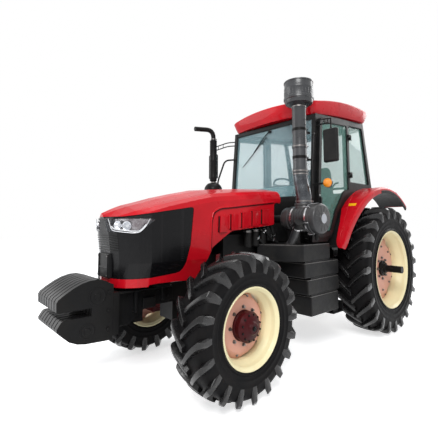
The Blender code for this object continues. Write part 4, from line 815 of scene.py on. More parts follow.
WHEEL_NUTS = {
    # kind: rows of (circle radius, along, count, phase, bolt radius, height)
    "front": [(0.152, 0.045, 8, 0.0, 0.0115, 0.02), (0.236, 0.028, 6, 0.5, 0.009, 0.012)],
    "rear": [(0.14, 0.055, 8, 0.0, 0.014, 0.022), (0.29, 0.055, 8, 0.0, 0.012, 0.016),
             (0.41, 0.014, 8, 0.5, 0.011, 0.014)],
}


def add_wheel_nuts(kind, name, side):
    outward = X_AXIS * side
    bm = bmesh.new()
    for radius, along, count, phase, size, height in WHEEL_NUTS[kind]:
        for spot in ring_of(wheel_place(kind, side) + outward * along, outward, radius, count, phase):
            bolt(bm, spot, outward, size, height)
    deliver(bm, kind + "_wheel_nuts_" + name, "bright_steel", look=BOLT, body=name + "_" + kind + "_wheel")


def add_rear_hub(name, side):
    """The black hub that clamps the disc to the axle bar."""
    profile = [(0.047, 0.125), (0.058, 0.118), (0.062, 0.092), (0.07, 0.086), (0.096, 0.084),
               (0.101, 0.079), (0.101, 0.02), (0.092, -0.01), (0.092, -0.075)]
    bm = bmesh.new()
    place = wheel_place("rear", side)
    solid(bm, profile, 64, place, X_AXIS * side)
    for spot in ring_of(place + X_AXIS * side * 0.083, X_AXIS * side, 0.08, 8):
        bolt(bm, spot, X_AXIS * side, 0.009, 0.014)
    deliver(bm, "rear_hub_clamp_" + name, "black_metal", body=name + "_rear_wheel")


def add_wheels():
    for name, side in SIDES:
        for kind in WHEELS:
            add_tyre(kind, name, side)
            add_rim(kind, name, side)
            add_wheel_nuts(kind, name, side)
        add_front_hub(name, side)
        add_rear_hub(name, side)


# Front weights and the carrier behind them

WEIGHT_PITCH = 0.063
WEIGHT_PLATE = 0.052
WEIGHT_COUNT = 8
# back, up round one weight
WEIGHT_EDGE = [
    (-0.86, 0.53), (-1.07, 0.54), (-1.13, 0.552), (-1.19, 0.58), (-1.255, 0.64), (-1.277, 0.665),
    (-1.279, 0.685),
    (-1.252, 0.728), (-1.235, 0.74), (-1.03, 0.74), (-1.03, 0.8), (-1.27, 0.795), (-1.285, 0.805),
    (-1.288, 0.87),
    (-1.275, 0.893), (-1.23, 0.925), (-1.17, 0.962), (-1.11, 0.99), (-1.05, 1.006), (-0.99, 1.008),
    (-0.93, 0.992),
    (-0.86, 0.955),
]
# back, up, radius of the round bosses on the outermost weights
WEIGHT_BOSSES = [(-0.99, 0.88, 0.07), (-1.06, 0.63, 0.06)]


def add_weights():
    half = (WEIGHT_COUNT - 1) / 2 * WEIGHT_PITCH
    bm = bmesh.new()
    for index in range(WEIGHT_COUNT):
        middle = index * WEIGHT_PITCH - half
        prism(bm, WEIGHT_EDGE, middle - WEIGHT_PLATE / 2, middle + WEIGHT_PLATE / 2)
    solid(bm, [(0.03, -half), (0.03, half)], 24, (0.0, at(-0.95), 0.88))
    slab(bm, (-half, -0.93, 0.58), (half, -0.865, 0.66))
    for side in (1, -1):
        face = half + WEIGHT_PLATE / 2
        for back, up, radius in WEIGHT_BOSSES:
            profile = [(radius, -0.004), (radius, 0.003), (radius - 0.012, 0.004),
                       (radius - 0.014, 0.001), (0.026, 0.001), (0.024, 0.006)]
            solid(bm, profile, 40, (side * face, at(back), up), X_AXIS * side)
    deliver(bm, "front_weight_stack", "black_metal", 0.011, replaces=("front_weights",))
    bm = bmesh.new()
    for side in (1, -1):
        for back, up in ((-0.9, 0.62), (-0.9, 0.9), (-0.9, 0.76)):
            bolt(bm, (side * (half + WEIGHT_PLATE / 2), at(back), up), X_AXIS * side, 0.012, 0.012)
    deliver(bm, "front_weight_bolts", "bright_steel", look=LOOKS["black_metal"])


# back, up of the plate on each side of the front support
CHEEK_EDGE = [(-0.84, 0.6), (-0.84, 0.86), (-0.62, 0.892), (-0.26, 0.892), (-0.26, 0.75), (-0.56, 0.7),
              (-0.7, 0.6)]
CHEEK_BOLTS = [(-0.8, 0.66), (-0.8, 0.82), (-0.7, 0.84), (-0.56, 0.85), (-0.42, 0.85), (-0.31, 0.85),
               (-0.31, 0.78)]


CHEEK_INNER = 0.176
CHEEK_OUTER = 0.186
CHEEK_TOP = 0.872


def add_carrier():
    bm = bmesh.new()
    for side in (1, -1):
        prism(bm, CHEEK_EDGE, CHEEK_INNER, CHEEK_OUTER, side)
        slab(bm, (CHEEK_INNER, -0.8, CHEEK_TOP), (0.236, -0.3, 0.884), side)
        slab(bm, (CHEEK_OUTER, -0.66, 0.7), (0.232, -0.64, CHEEK_TOP), side)
        slab(bm, (CHEEK_OUTER, -0.4, 0.76), (0.232, -0.38, CHEEK_TOP), side)
        slab(bm, (CHEEK_OUTER, -0.58, 0.715), (0.222, -0.46, 0.8), side)
    deliver(bm, "carrier_cheeks", "black_metal", 0.003)
    bm = bmesh.new()
    for side in (1, -1):
        for back, up in CHEEK_BOLTS:
            bolt(bm, (side * CHEEK_OUTER, at(back), up), X_AXIS * side, 0.01, 0.01)
    deliver(bm, "carrier_bolts", "bright_steel", look=LOOKS["black_metal"])


def add_front_shaft():
    """The four-wheel drive's shaft, which runs beside the sump."""
    bm = bmesh.new()
    place = (-0.205, at(0.1), 0.6)
    profile = [(0.045, 0.0), (0.045, 0.05), (0.03, 0.07), (0.03, 1.22), (0.045, 1.24), (0.045, 1.3)]
    solid(bm, profile, 28, place, Y_AXIS)
    deliver(bm, "front_drive_shaft", "dark_cast")


# Nose

HOOD_CORNER = -0.42
HOOD_NOSE = -0.83
HOOD_REAR = 1.05
HOOD_HALF = 0.375
HOOD_FLARE = 0.045
HOOD_TUCK = 0.055
NOSE_LEAN = 0.055
NOSE_POWER = 2.7
# height where the nose starts to tuck in, or to lean back, and the height that it takes
TUCK_FROM = 1.11
TUCK_OVER = 0.2
LEAN_FROM = 1.15
LEAN_OVER = 0.35


def nose_point(up, turn=None, back=None, proud=0.0, side=1):
    """A point on the bonnet's nose, by its angle from the centre in degrees or by how far back it is."""
    depth = HOOD_CORNER - HOOD_NOSE
    if turn is None:
        forward = (HOOD_CORNER - back) / depth
        share = (1 - forward ** NOSE_POWER) ** (1 / NOSE_POWER)
    else:
        share = math.sin(math.radians(turn)) ** (2 / NOSE_POWER)
        forward = math.cos(math.radians(turn)) ** (2 / NOSE_POWER)
    tuck = HOOD_TUCK * share * max(0.0, (TUCK_FROM - up) / TUCK_OVER)
    lean = NOSE_LEAN * forward ** 2 * min(1.0, max(0.0, (up - LEAN_FROM) / LEAN_OVER))
    place = Vector((HOOD_HALF * share - tuck, at(HOOD_CORNER - depth * forward) - lean, up))
    normal = Vector((
        share ** (NOSE_POWER - 1) / HOOD_HALF, -forward ** (NOSE_POWER - 1) / depth, 0.0,
    )).normalized()
    place += normal * proud
    return Vector((side * place.x, place.y, place.z)), Vector((side * normal.x, normal.y, 0.0))


# angle round the nose in degrees, up, along the headlamp's lower edge from its inner tip
LAMP_LINE = [(14.0, 1.48), (17.0, 1.4), (20.0, 1.38), (28.0, 1.374), (38.0, 1.368), (48.0, 1.362)]
# how far back, up, along the rest of the edge
LAMP_TAIL = [(-0.675, 1.366), (-0.625, 1.425), (-0.6, 1.48)]
# how far the trim stands out, and what is behind it sits in
TRIM_PROUD = 0.0015
STRIP_SUNK = 0.004
BOWL_SUNK = 0.01
HOUSING_SUNK = 0.052
HOUSING_LEVELS = (1.335, 1.37, 1.41, 1.45, 1.485)
# angle round the nose, up, size of the lamp's bowls
LAMP_BOWLS = [(27.0, 1.424, 0.034), (41.0, 1.42, 0.034)]


def add_headlamps():
    for name, side in SIDES:
        line = [nose_point(up, turn=turn, proud=TRIM_PROUD, side=side)[0] for turn, up in LAMP_LINE]
        line += [nose_point(up, back=back, proud=TRIM_PROUD, side=side)[0] for back, up in LAMP_TAIL]
        bm = bmesh.new()
        sweep(bm, rounded(line, 0.03), (0.004, 0.0075), 10)
        deliver(bm, "headlamp_trim_" + name, "bright_steel", look=CHROME, body="hood")
        bm = bmesh.new()
        inner = [nose_point(up + 0.016, turn=turn, proud=-STRIP_SUNK, side=side)[0]
                 for turn, up in LAMP_LINE[1:]]
        inner += [nose_point(up + 0.01, back=back, proud=-STRIP_SUNK, side=side)[0]
                  for back, up in LAMP_TAIL[:2]]
        sweep(bm, rounded(inner, 0.03), 0.005, 8)
        deliver(bm, "headlamp_light_strip_" + name, "lamp_lens", look=WHITE_LENS, body="hood")
        bm = bmesh.new()
        glow = bmesh.new()
        for turn, up, radius in LAMP_BOWLS:
            place, normal = nose_point(up, turn=turn, proud=-BOWL_SUNK, side=side)
            profile = [(0.0, -0.026), (radius * 0.45, -0.022), (radius * 0.9, -0.008), (radius, 0.0),
                       (radius + 0.004, 0.002), (radius + 0.005, -0.004), (radius * 0.5, -0.03),
                       (0.0, -0.032)]
            lathe(bm, profile, 36, place, normal)
            lathe(glow, [(0.0, -0.024), (0.014, -0.022), (0.012, -0.008), (0.0, -0.004)], 20, place, normal)
        deliver(bm, "headlamp_bowls_" + name, "bright_steel", look=CHROME, body="hood")
        deliver(glow, "headlamp_bulbs_" + name, "lamp_lens", look=WHITE_LENS, body="hood")


def add_lamp_housings():
    """A silvered bowl behind each headlamp lens."""
    for name, side in SIDES:
        bm = bmesh.new()
        rows = []
        for up in HOUSING_LEVELS:
            row = [nose_point(up, turn=turn, proud=-HOUSING_SUNK, side=side)[0] for turn in range(16, 80, 4)]
            rows.append([bm.verts.new(point) for point in row])
        for lower, upper in zip(rows, rows[1:]):
            for index in range(len(lower) - 1):
                bm.faces.new((lower[index], lower[index + 1], upper[index + 1], upper[index]))
        deliver(bm, "headlamp_housing_" + name, "bright_steel", look=LAMP_SILVER, body="hood")


LOUVRE_COUNT = 5
LOUVRE_FIRST = 0.135
LOUVRE_PITCH = 0.15
LOUVRE_WIDE = 0.1
LOUVRE_LOW = 1.352
LOUVRE_STEP = 0.02
LOUVRE_TALL = 0.172
# how far a louvre stands out at its front and at its rear end, and how far it is rooted in the bonnet
LOUVRE_PROUD = 0.019
LOUVRE_REAR = 0.003
LOUVRE_ROOT = 0.004
# back, up along the crease round the bonnet's sunken side panel
CREASE = [(0.035, 1.17), (0.045, 1.46), (0.075, 1.545), (0.16, 1.583), (0.3, 1.596), (0.62, 1.632),
          (0.93, 1.667)]


def hood_side(back):
    """Half width of the bonnet behind its nose."""
    return HOOD_HALF + HOOD_FLARE * (back - HOOD_CORNER) / (HOOD_REAR - HOOD_CORNER)


def add_louvres():
    bm = bmesh.new()
    slot_painted_shadows = bmesh.new()
    crease_painted_shadows = bmesh.new()
    lips = bmesh.new()
    for side in (1, -1):
        for index in range(LOUVRE_COUNT):
            back = LOUVRE_FIRST + index * LOUVRE_PITCH
            low = LOUVRE_LOW + index * LOUVRE_STEP
            high = low + LOUVRE_TALL
            outline = [(back, low), (back + LOUVRE_WIDE, low + 0.004),
                       (back + LOUVRE_WIDE + 0.01, high - 0.01), (back + 0.004, high - 0.012)]
            heights = (LOUVRE_PROUD, LOUVRE_REAR, LOUVRE_REAR, LOUVRE_PROUD)
            rings = []
            for raised in (False, True):
                ring = []
                for (b, up), height in zip(outline, heights):
                    x = hood_side(b) + (height if raised else -LOUVRE_ROOT)
                    ring.append(bm.verts.new((side * x, at(b), up)))
                rings.append(ring)
            skin_over(bm, rings)
            # A black strip just proud of the bonnet at each louvre's front edge: painted shadow of the
            # louvre's raised front.
            slot = [(back - 0.01, low + 0.003), (back + 0.004, low + 0.003), (back + 0.008, high - 0.015),
                    (back - 0.006, high - 0.015)]
            prism(slot_painted_shadows, slot, hood_side(back) - 0.012, hood_side(back) + 0.004, side)
        # A flat maroon line along the crease: painted shadow under the overhanging lip.
        path = [(side * (hood_side(back) - 0.0015), at(back), up) for back, up in CREASE]
        sweep(crease_painted_shadows, rounded(path, 0.03), (0.0035, 0.006), 8, up=X_AXIS)
        path = [(side * (hood_side(back) + 0.001), at(back - 0.01), up + 0.013) for back, up in CREASE]
        sweep(lips, rounded(path, 0.03), (0.0065, 0.008), 12, up=X_AXIS)
    deliver(bm, "bonnet_louvres", "red_paint", 0.003, body="hood")
    # The black strips at the louvres' front edges are painted shadow.
    deliver(slot_painted_shadows, "bonnet_louvre_slot_painted_shadows", "black_plastic", look=SEAL, body="hood")
    # The maroon line along each crease is painted shadow.
    deliver(crease_painted_shadows, "bonnet_crease_painted_shadows", "red_paint", look=LOOKS["hub_red"], body="hood")
    deliver(lips, "bonnet_crease_lips", "red_paint", body="hood")


SLAT_COUNT = 7
SLAT_FIRST = 1.215
SLAT_PITCH = 0.02


def add_nose_trim():
    front = nose_point(1.1, turn=0.0)[0].y
    bm = bmesh.new()
    block(bm, (-0.105, front - 0.02, 0.985), (0.105, front + 0.045, 1.185))
    for side in (1, -1):
        block(bm, (side * 0.097, front - 0.027, 0.99), (side * 0.078, front - 0.015, 1.18))
    block(bm, (-0.078, front - 0.025, 1.06), (0.078, front - 0.015, 1.075))
    deliver(bm, "nose_latch_box", "black_plastic", 0.004, body="hood")
    bm = bmesh.new()
    for x in (-0.088, 0.088):
        for up in (1.005, 1.165):
            bolt(bm, (x, front - 0.026, up), -Y_AXIS, 0.006, 0.005)
    deliver(bm, "nose_latch_screws", "bright_steel", look=BOLT, body="hood")
    bm = bmesh.new()
    for row in range(SLAT_COUNT):
        up = SLAT_FIRST + row * SLAT_PITCH
        path = [nose_point(up, turn=turn, proud=-0.002, side=-1)[0] for turn in range(26, 0, -3)]
        path += [nose_point(up, turn=turn, proud=-0.002)[0] for turn in range(2, 29, 3)]
        sweep(bm, path, (0.003, 0.0035), 6, up=Z_AXIS)
    deliver(bm, "nose_slats", "black_plastic", body="hood")


# Fenders

FENDER_STEPS = 72
FENDER_START = 17.0
FENDER_END = 128.0
# angle, inner and outer edge of the red skin
FENDER_PLAN = [
    (17.0, 0.792, 0.838), (18.5, 0.772, 0.852), (21.0, 0.755, 0.864), (26.0, 0.75, 0.877),
    (34.0, 0.742, 0.895),
    (42.0, 0.712, 0.913), (52.0, 0.652, 0.931), (64.0, 0.588, 0.944), (76.0, FENDER_INNER, FENDER_OUTER),
    (180.0, FENDER_INNER, FENDER_OUTER),
]
FENDER_SKIN = 0.02
FENDER_LIP = 0.08
FENDER_ROUND = 0.03


def fender_point(angle, radius):
    turn = math.radians(angle)
    return REAR_AXLE_Y - radius * math.cos(turn), REAR_TYRE_RADIUS + radius * math.sin(turn)


def fender_edges(angle):
    """The inner and outer edge of the skin at an angle, smoothly between the rows of the plan."""
    for first, last in zip(FENDER_PLAN, FENDER_PLAN[1:]):
        if angle <= last[0]:
            share = max(0.0, (angle - first[0]) / (last[0] - first[0]))
            return first[1] + share * (last[1] - first[1]), first[2] + share * (last[2] - first[2])
    return FENDER_INNER, FENDER_OUTER


def narrowed(x, angle):
    """Where a point of the fender lies across, with the front end drawn in on both sides."""
    low, high = fender_edges(angle)
    return low + (x - FENDER_INNER) * (high - low) / (FENDER_OUTER - FENDER_INNER)


def add_fender_gusset(name, side):
    """The black panel between the cab's corner and the drawn-in front of the red skin."""
    bm = bmesh.new()
    rings = []
    for angle in range(18, 77, 2):
        edge = fender_edges(angle)[0] + 0.012
        corners = oblong((FENDER_INNER, FENDER_RADIUS - 0.004), (edge, FENDER_RADIUS - 0.016))
        rings.append([bm.verts.new((side * x, *fender_point(angle, radius))) for x, radius in corners])
    skin_over(bm, rings)
    deliver(bm, "fender_gusset_" + name, "black_plastic", 0.002)


def add_fender_edging(name, side):
    """A black strip along the underside of the fender's outer edge over its rear half, which makes the lip
    dark there.
    """
    bm = bmesh.new()
    low = FENDER_RADIUS - FENDER_LIP - 0.004
    section = oblong((FENDER_OUTER - 0.016, low), (FENDER_OUTER + 0.003, low + 0.04))
    arched(bm, section, side, 80.0, FENDER_END + 0.4)
    deliver(bm, "fender_edging_" + name, "black_plastic", 0.003, look=SEAL)


def arched(bm, section, side, first=FENDER_START, last=FENDER_END, steps=FENDER_STEPS):
    """A section of (x, radius) carried round the rear axle."""
    rings = []
    for step in range(steps + 1):
        angle = first + (last - first) * step / steps
        ring = []
        for x, radius in section:
            y, z = fender_point(angle, radius)
            ring.append(bm.verts.new((side * narrowed(x, angle), y, z)))
        rings.append(ring)
    skin_over(bm, rings)


def add_fenders():
    skin = FENDER_RADIUS - FENDER_SKIN
    lip = FENDER_RADIUS - FENDER_LIP
    edge = FENDER_OUTER
    crown = [(edge, FENDER_RADIUS - 0.034)]
    for step in range(1, 6):
        turn = math.radians(step * 15)
        crown.append((edge - FENDER_ROUND + FENDER_ROUND * math.cos(turn),
                      FENDER_RADIUS - FENDER_ROUND + FENDER_ROUND * math.sin(turn)))
    crown.append((edge - 0.034, FENDER_RADIUS))
    ridge = [(0.7, FENDER_RADIUS), (0.692, FENDER_RADIUS - 0.004), (0.684, FENDER_RADIUS)]
    section = [(FENDER_INNER, skin), (edge - 0.012, skin), (edge - 0.012, lip + 0.004), (edge - 0.01, lip),
               (edge - 0.002, lip), (edge, lip + 0.003)] + crown + ridge + [(FENDER_INNER, FENDER_RADIUS)]
    for name, side in SIDES:
        bm = bmesh.new()
        arched(bm, section, side)
        body = deliver(bm, "fender_skin_" + name, "red_paint", replaces=("fender_" + name,))
        soften(body, 0.003)
        bm = bmesh.new()
        # A black sheet just under the red skin: painted shade that darkens the fender's underside.
        underside_shade_sheet = oblong((FENDER_INNER + 0.002, skin - 0.006), (edge - 0.016, skin - 0.002))
        arched(bm, underside_shade_sheet, side, FENDER_START + 1.0, FENDER_END - 1.0)
        deliver(bm, "fender_underside_shade_sheet_" + name, "black_plastic")
        bm = bmesh.new()
        strip = oblong((0.7, FENDER_RADIUS - 0.001), (0.845, FENDER_RADIUS + 0.004))
        arched(bm, strip, side, 48.5, 51.0, 4)
        deliver(bm, "fender_reflector_" + name, "lamp_lens", look=REFLECTOR)
        add_fender_gusset(name, side)
        add_fender_edging(name, side)
        add_tail_lamp(name, side)


def add_tail_lamp(name, side):
    """The stop lamp and blinker on the fender's rear slope."""
    bm = bmesh.new()
    case = oblong((0.72, FENDER_RADIUS - 0.001), (0.9, FENDER_RADIUS + 0.045))
    arched(bm, case, side, 112.0, 117.0, 4)
    deliver(bm, "tail_lamp_case_" + name, "black_plastic", 0.004)
    for label, look, low, high in (("stop", RED_LENS, 0.815, 0.892), ("turn", AMBER, 0.728, 0.805)):
        bm = bmesh.new()
        glass_part = oblong((low, FENDER_RADIUS + 0.006), (high, FENDER_RADIUS + 0.04))
        arched(bm, glass_part, side, 116.9, 118.0, 2)
        deliver(bm, "tail_lamp_" + label + "_" + name, "lamp_lens", 0.003, look=look)


# Air cleaner, intake stack and exhaust

CLEANER_BACK = 1.12
CLEANER_Z = 1.49
INTAKE_X = 0.65
PRECLEANER = [
    (0.0, 3.085), (0.026, 3.085), (0.03, 3.081), (0.032, 3.068), (0.146, 3.06), (0.164, 3.056),
    (0.167, 3.052),
    (0.167, 3.041), (0.162, 3.038), (0.162, 2.985),
    (0.1645, 2.98), (0.1645, 2.965), (0.162, 2.96), (0.162, 2.878), (0.17, 2.868), (0.17, 2.845),
    (0.162, 2.838),
    (0.161, 2.822), (0.15, 2.8), (0.12, 2.786), (0.088, 2.776), (0.0, 2.775),
]
# up, radius, shift out and back along the pipe under it
INTAKE_PIPE = [
    (2.79, 0.08, 0.0), (2.745, 0.08, 0.0), (2.742, 0.078, 0.0), (2.33, 0.078, 0.0), (2.326, 0.084, 0.0),
    (2.286, 0.084, 0.0), (2.282, 0.078, 0.0), (2.05, 0.078, 0.0), (2.046, 0.084, 0.0), (2.006, 0.084, 0.0),
    (2.002, 0.08, 0.0), (1.96, 0.08, 0.001), (1.92, 0.081, 0.004), (1.88, 0.082, 0.009),
    (1.84, 0.084, 0.015),
    (1.8, 0.086, 0.019), (1.76, 0.088, 0.022), (1.72, 0.09, 0.024), (1.66, 0.091, 0.024),
    (1.6, 0.092, 0.024),
]
DUCT_TOP = 2.0
PRECLEANER_RIBS = 28
RIB_CIRCLE = 0.1615
CLEANER_FACE = 0.9235
CLEANER_CLIPS = 0.79
# along the canister, where its grooves start and end, and their pitch
GROOVE_FIRST = 0.742
GROOVE_LAST = 0.52
GROOVE_PITCH = 0.0375


def pipe_rings(bm, rows, grow=0.0, segments=56):
    rings = []
    for up, radius, shift in rows:
        centre = Vector((INTAKE_X + shift, at(CLEANER_BACK) + shift, up))
        rings.append([bm.verts.new(point) for point in ring_of(centre, Z_AXIS, radius + grow, segments)])
    skin_over(bm, rings)


def add_intake():
    node = ("intake_stack",)
    bm = bmesh.new()
    lathe(bm, PRECLEANER, 72, (INTAKE_X, at(CLEANER_BACK), 0.0), Z_AXIS)
    for index in range(PRECLEANER_RIBS):
        turn = 2 * math.pi * index / PRECLEANER_RIBS
        spot = (INTAKE_X + RIB_CIRCLE * math.cos(turn), at(CLEANER_BACK) + RIB_CIRCLE * math.sin(turn), 0.0)
        lathe(bm, [(0.0, 2.885), (0.0035, 2.888), (0.0035, 2.945), (0.0, 2.948)], 6, spot, Z_AXIS)
    deliver(bm, "precleaner", "black_metal", replaces=node, look=STACK_PAINT)
    bm = bmesh.new()
    pipe_rings(bm, [row for row in INTAKE_PIPE if row[0] > DUCT_TOP])
    deliver(bm, "intake_pipe", "black_metal", replaces=node, look=STACK_PAINT)
    bm = bmesh.new()
    pipe_rings(bm, [row for row in INTAKE_PIPE if row[0] < DUCT_TOP + 0.01])
    deliver(bm, "intake_duct", "black_metal", replaces=node, look=DARK_CHROME)
    bm = bmesh.new()
    for up, radius in ((2.765, 0.081), (2.306, 0.084), (2.026, 0.084), (1.99, 0.082)):
        band(bm, (INTAKE_X, at(CLEANER_BACK), up), Z_AXIS, radius, 0.014)
    shift = INTAKE_PIPE[-1][2]
    band(bm, (INTAKE_X + shift, at(CLEANER_BACK) + shift, 1.685), Z_AXIS, 0.0925, 0.014)
    deliver(bm, "intake_clamps", "bright_steel", look=BOLT)
    bm = bmesh.new()
    for up in (2.5, 2.18):
        band(bm, (INTAKE_X, at(CLEANER_BACK), up), Z_AXIS, 0.079, 0.03, 0.004)
        block(bm, (INTAKE_X - 0.03, at(CLEANER_BACK) + 0.078, up - 0.012),
              (INTAKE_X + 0.01, at(1.325), up + 0.012))
    deliver(bm, "intake_brackets", "black_metal")


def cleaner_profile():
    """The canister as (radius, along X), with its ribbed body and wide end cap."""
    profile = [(0.0, 0.94), (0.055, 0.94), (0.06, 0.937), (0.066, 0.927), (0.074, 0.925), (0.138, 0.924),
               (0.15, 0.921), (0.16, 0.913), (0.165, 0.9), (0.165, 0.862), (0.16, 0.858), (0.16, 0.846),
               (0.165, 0.842), (0.165, 0.792), (0.16, 0.786), (0.132, 0.775), (0.13, 0.77)]
    along = GROOVE_FIRST
    while along > GROOVE_LAST:
        profile += [(0.13, along + 0.002), (0.138, along - 0.004), (0.138, along - 0.018),
                    (0.13, along - 0.024)]
        along -= GROOVE_PITCH
    return profile + [(0.13, 0.47), (0.124, 0.456), (0.117, 0.45), (0.0, 0.45)]


def add_cleaner():
    node = ("air_cleaner",)
    centre = Vector((0.0, at(CLEANER_BACK), CLEANER_Z))
    bm = bmesh.new()
    lathe(bm, cleaner_profile(), 72, centre)
    for spot in ring_of(centre + X_AXIS * CLEANER_FACE, X_AXIS, 0.105, 12):
        toward = (spot - centre - X_AXIS * CLEANER_FACE).normalized() * 0.032
        sweep(bm, [spot - toward, spot + toward], 0.004, 6)
    shift = INTAKE_PIPE[-1][2]
    socket = (INTAKE_X + shift, at(CLEANER_BACK) + shift, 0.0)
    collar = [(0.101, 1.662), (0.104, 1.655), (0.104, 1.64), (0.099, 1.634), (0.104, 1.625), (0.104, 1.55)]
    solid(bm, collar, 56, socket, Z_AXIS)
    deliver(bm, "cleaner_canister", "black_plastic", replaces=node, look=CANISTER)
    bm = bmesh.new()
    path = rounded(places([(0.47, 1.12, CLEANER_Z), (0.2, 1.12, CLEANER_Z),
                           (0.1, 1.025, CLEANER_Z - 0.055)]), 0.08, 8)
    sweep(bm, path, 0.045, 28)
    slab(bm, (0.5, 1.07, 1.2105), (0.6, 1.17, 1.39))
    deliver(bm, "cleaner_duct", "black_plastic", 0.003, replaces=node)
    bm = bmesh.new()
    for x, radius in ((0.805, 0.1655), (0.6, 0.139)):
        band(bm, centre + X_AXIS * x, X_AXIS, radius, 0.018)
    band(bm, centre + X_AXIS * 0.4, X_AXIS, 0.0455, 0.012)
    for spot in ring_of(centre + X_AXIS * CLEANER_CLIPS, X_AXIS, 0.163, 6, 0.5):
        outward = (spot - centre - X_AXIS * CLEANER_CLIPS).normalized()
        path = [spot - X_AXIS * 0.022, spot - X_AXIS * 0.015 + outward * 0.01,
                spot + X_AXIS * 0.045 + outward * 0.01, spot + X_AXIS * 0.055]
        sweep(bm, path, 0.0045, 6)
    deliver(bm, "cleaner_clips", "bright_steel")
    bm = bmesh.new()
    valve = centre + Vector((0.845, 0.0, -0.155))
    solid(bm, [(0.024, 0.0), (0.024, 0.02), (0.018, 0.026), (0.02, 0.07), (0.006, 0.076)], 28,
          valve, -Z_AXIS)
    deliver(bm, "cleaner_dust_valve", "black_plastic", look=SEAL)
    bm = bmesh.new()
    lathe(bm, [(0.0, 0.9385), (0.052, 0.9385), (0.05, 0.9405), (0.0, 0.941)], 40, centre)
    deliver(bm, "cleaner_cap_centre", "black_plastic", look=CAP_GREY)


EXHAUST_X = -0.25
EXHAUST_BACK = 0.6
EXHAUST_PIPE = 0.028


def add_exhaust():
    place = (EXHAUST_X, at(EXHAUST_BACK), 0.0)
    path = rounded([(EXHAUST_X, at(EXHAUST_BACK), 1.72), (EXHAUST_X, at(EXHAUST_BACK), 2.585),
                    (EXHAUST_X - 0.045, at(EXHAUST_BACK) - 0.25, 2.565)], 0.1, 14)
    bm = bmesh.new()
    sweep(bm, path, EXHAUST_PIPE, 32)
    muffler = [(0.03, 2.458), (0.043, 2.452), (0.0445, 2.446), (0.043, 2.44), (0.043, 2.21),
               (0.0445, 2.204), (0.043, 2.198), (0.043, 2.0), (0.0445, 1.994), (0.043, 1.988),
        (0.043, 1.955), (0.03, 1.945)]
    solid(bm, muffler, 48, place, Z_AXIS)
    collar = [(0.052, 1.925), (0.068, 1.918), (0.085, 1.902), (0.1, 1.88), (0.107, 1.862), (0.108, 1.83),
              (0.108, 1.76)]
    solid(bm, collar, 48, place, Z_AXIS)
    deliver(bm, "exhaust_stack", "black_metal", replaces=("exhaust",), body="hood")
    bm = bmesh.new()
    for up in (2.47, 1.935):
        band(bm, (EXHAUST_X, at(EXHAUST_BACK), up), Z_AXIS, EXHAUST_PIPE + 0.0005, 0.012)
    deliver(bm, "exhaust_clamps", "bright_steel", look=BOLT, body="hood")
    bm = bmesh.new()
    tip = Vector(path[-1])
    direction = (tip - Vector(path[-2])).normalized()
    solid(bm, [(0.0245, 0.0005), (0.0245, 0.0015)], 32, tip, direction)
    deliver(bm, "exhaust_mouth", "black_metal", look=SEAL, body="hood")


# Tank and battery box

# front, rear, low, high of each tier, as distances back and heights
TANK_TIERS = [(0.98, 1.54, 1.03, 1.21), (1.03, 1.72, 0.85, 1.012), (1.08, 1.72, 0.67, 0.832),
              (1.135, 1.7, 0.44, 0.652)]
TANK_INNER = 0.27
TANK_OUTER = 0.75
# how far the light grey lines of painted highlight along the tiers' top edges lie inside the tiers' corners
EDGE_INSET = 0.0045
STRAP_PROUD = 0.0005


def tank_outline(front, rear):
    """A tier seen from above."""
    return oblong((TANK_INNER, front), (TANK_OUTER, rear))


def plan_prism(bm, outline, low, high, side):
    """An (x, back) outline pulled up from low to high."""
    rings = [[bm.verts.new((side * x, at(back), up)) for x, back in outline] for up in (low, high)]
    skin_over(bm, rings)


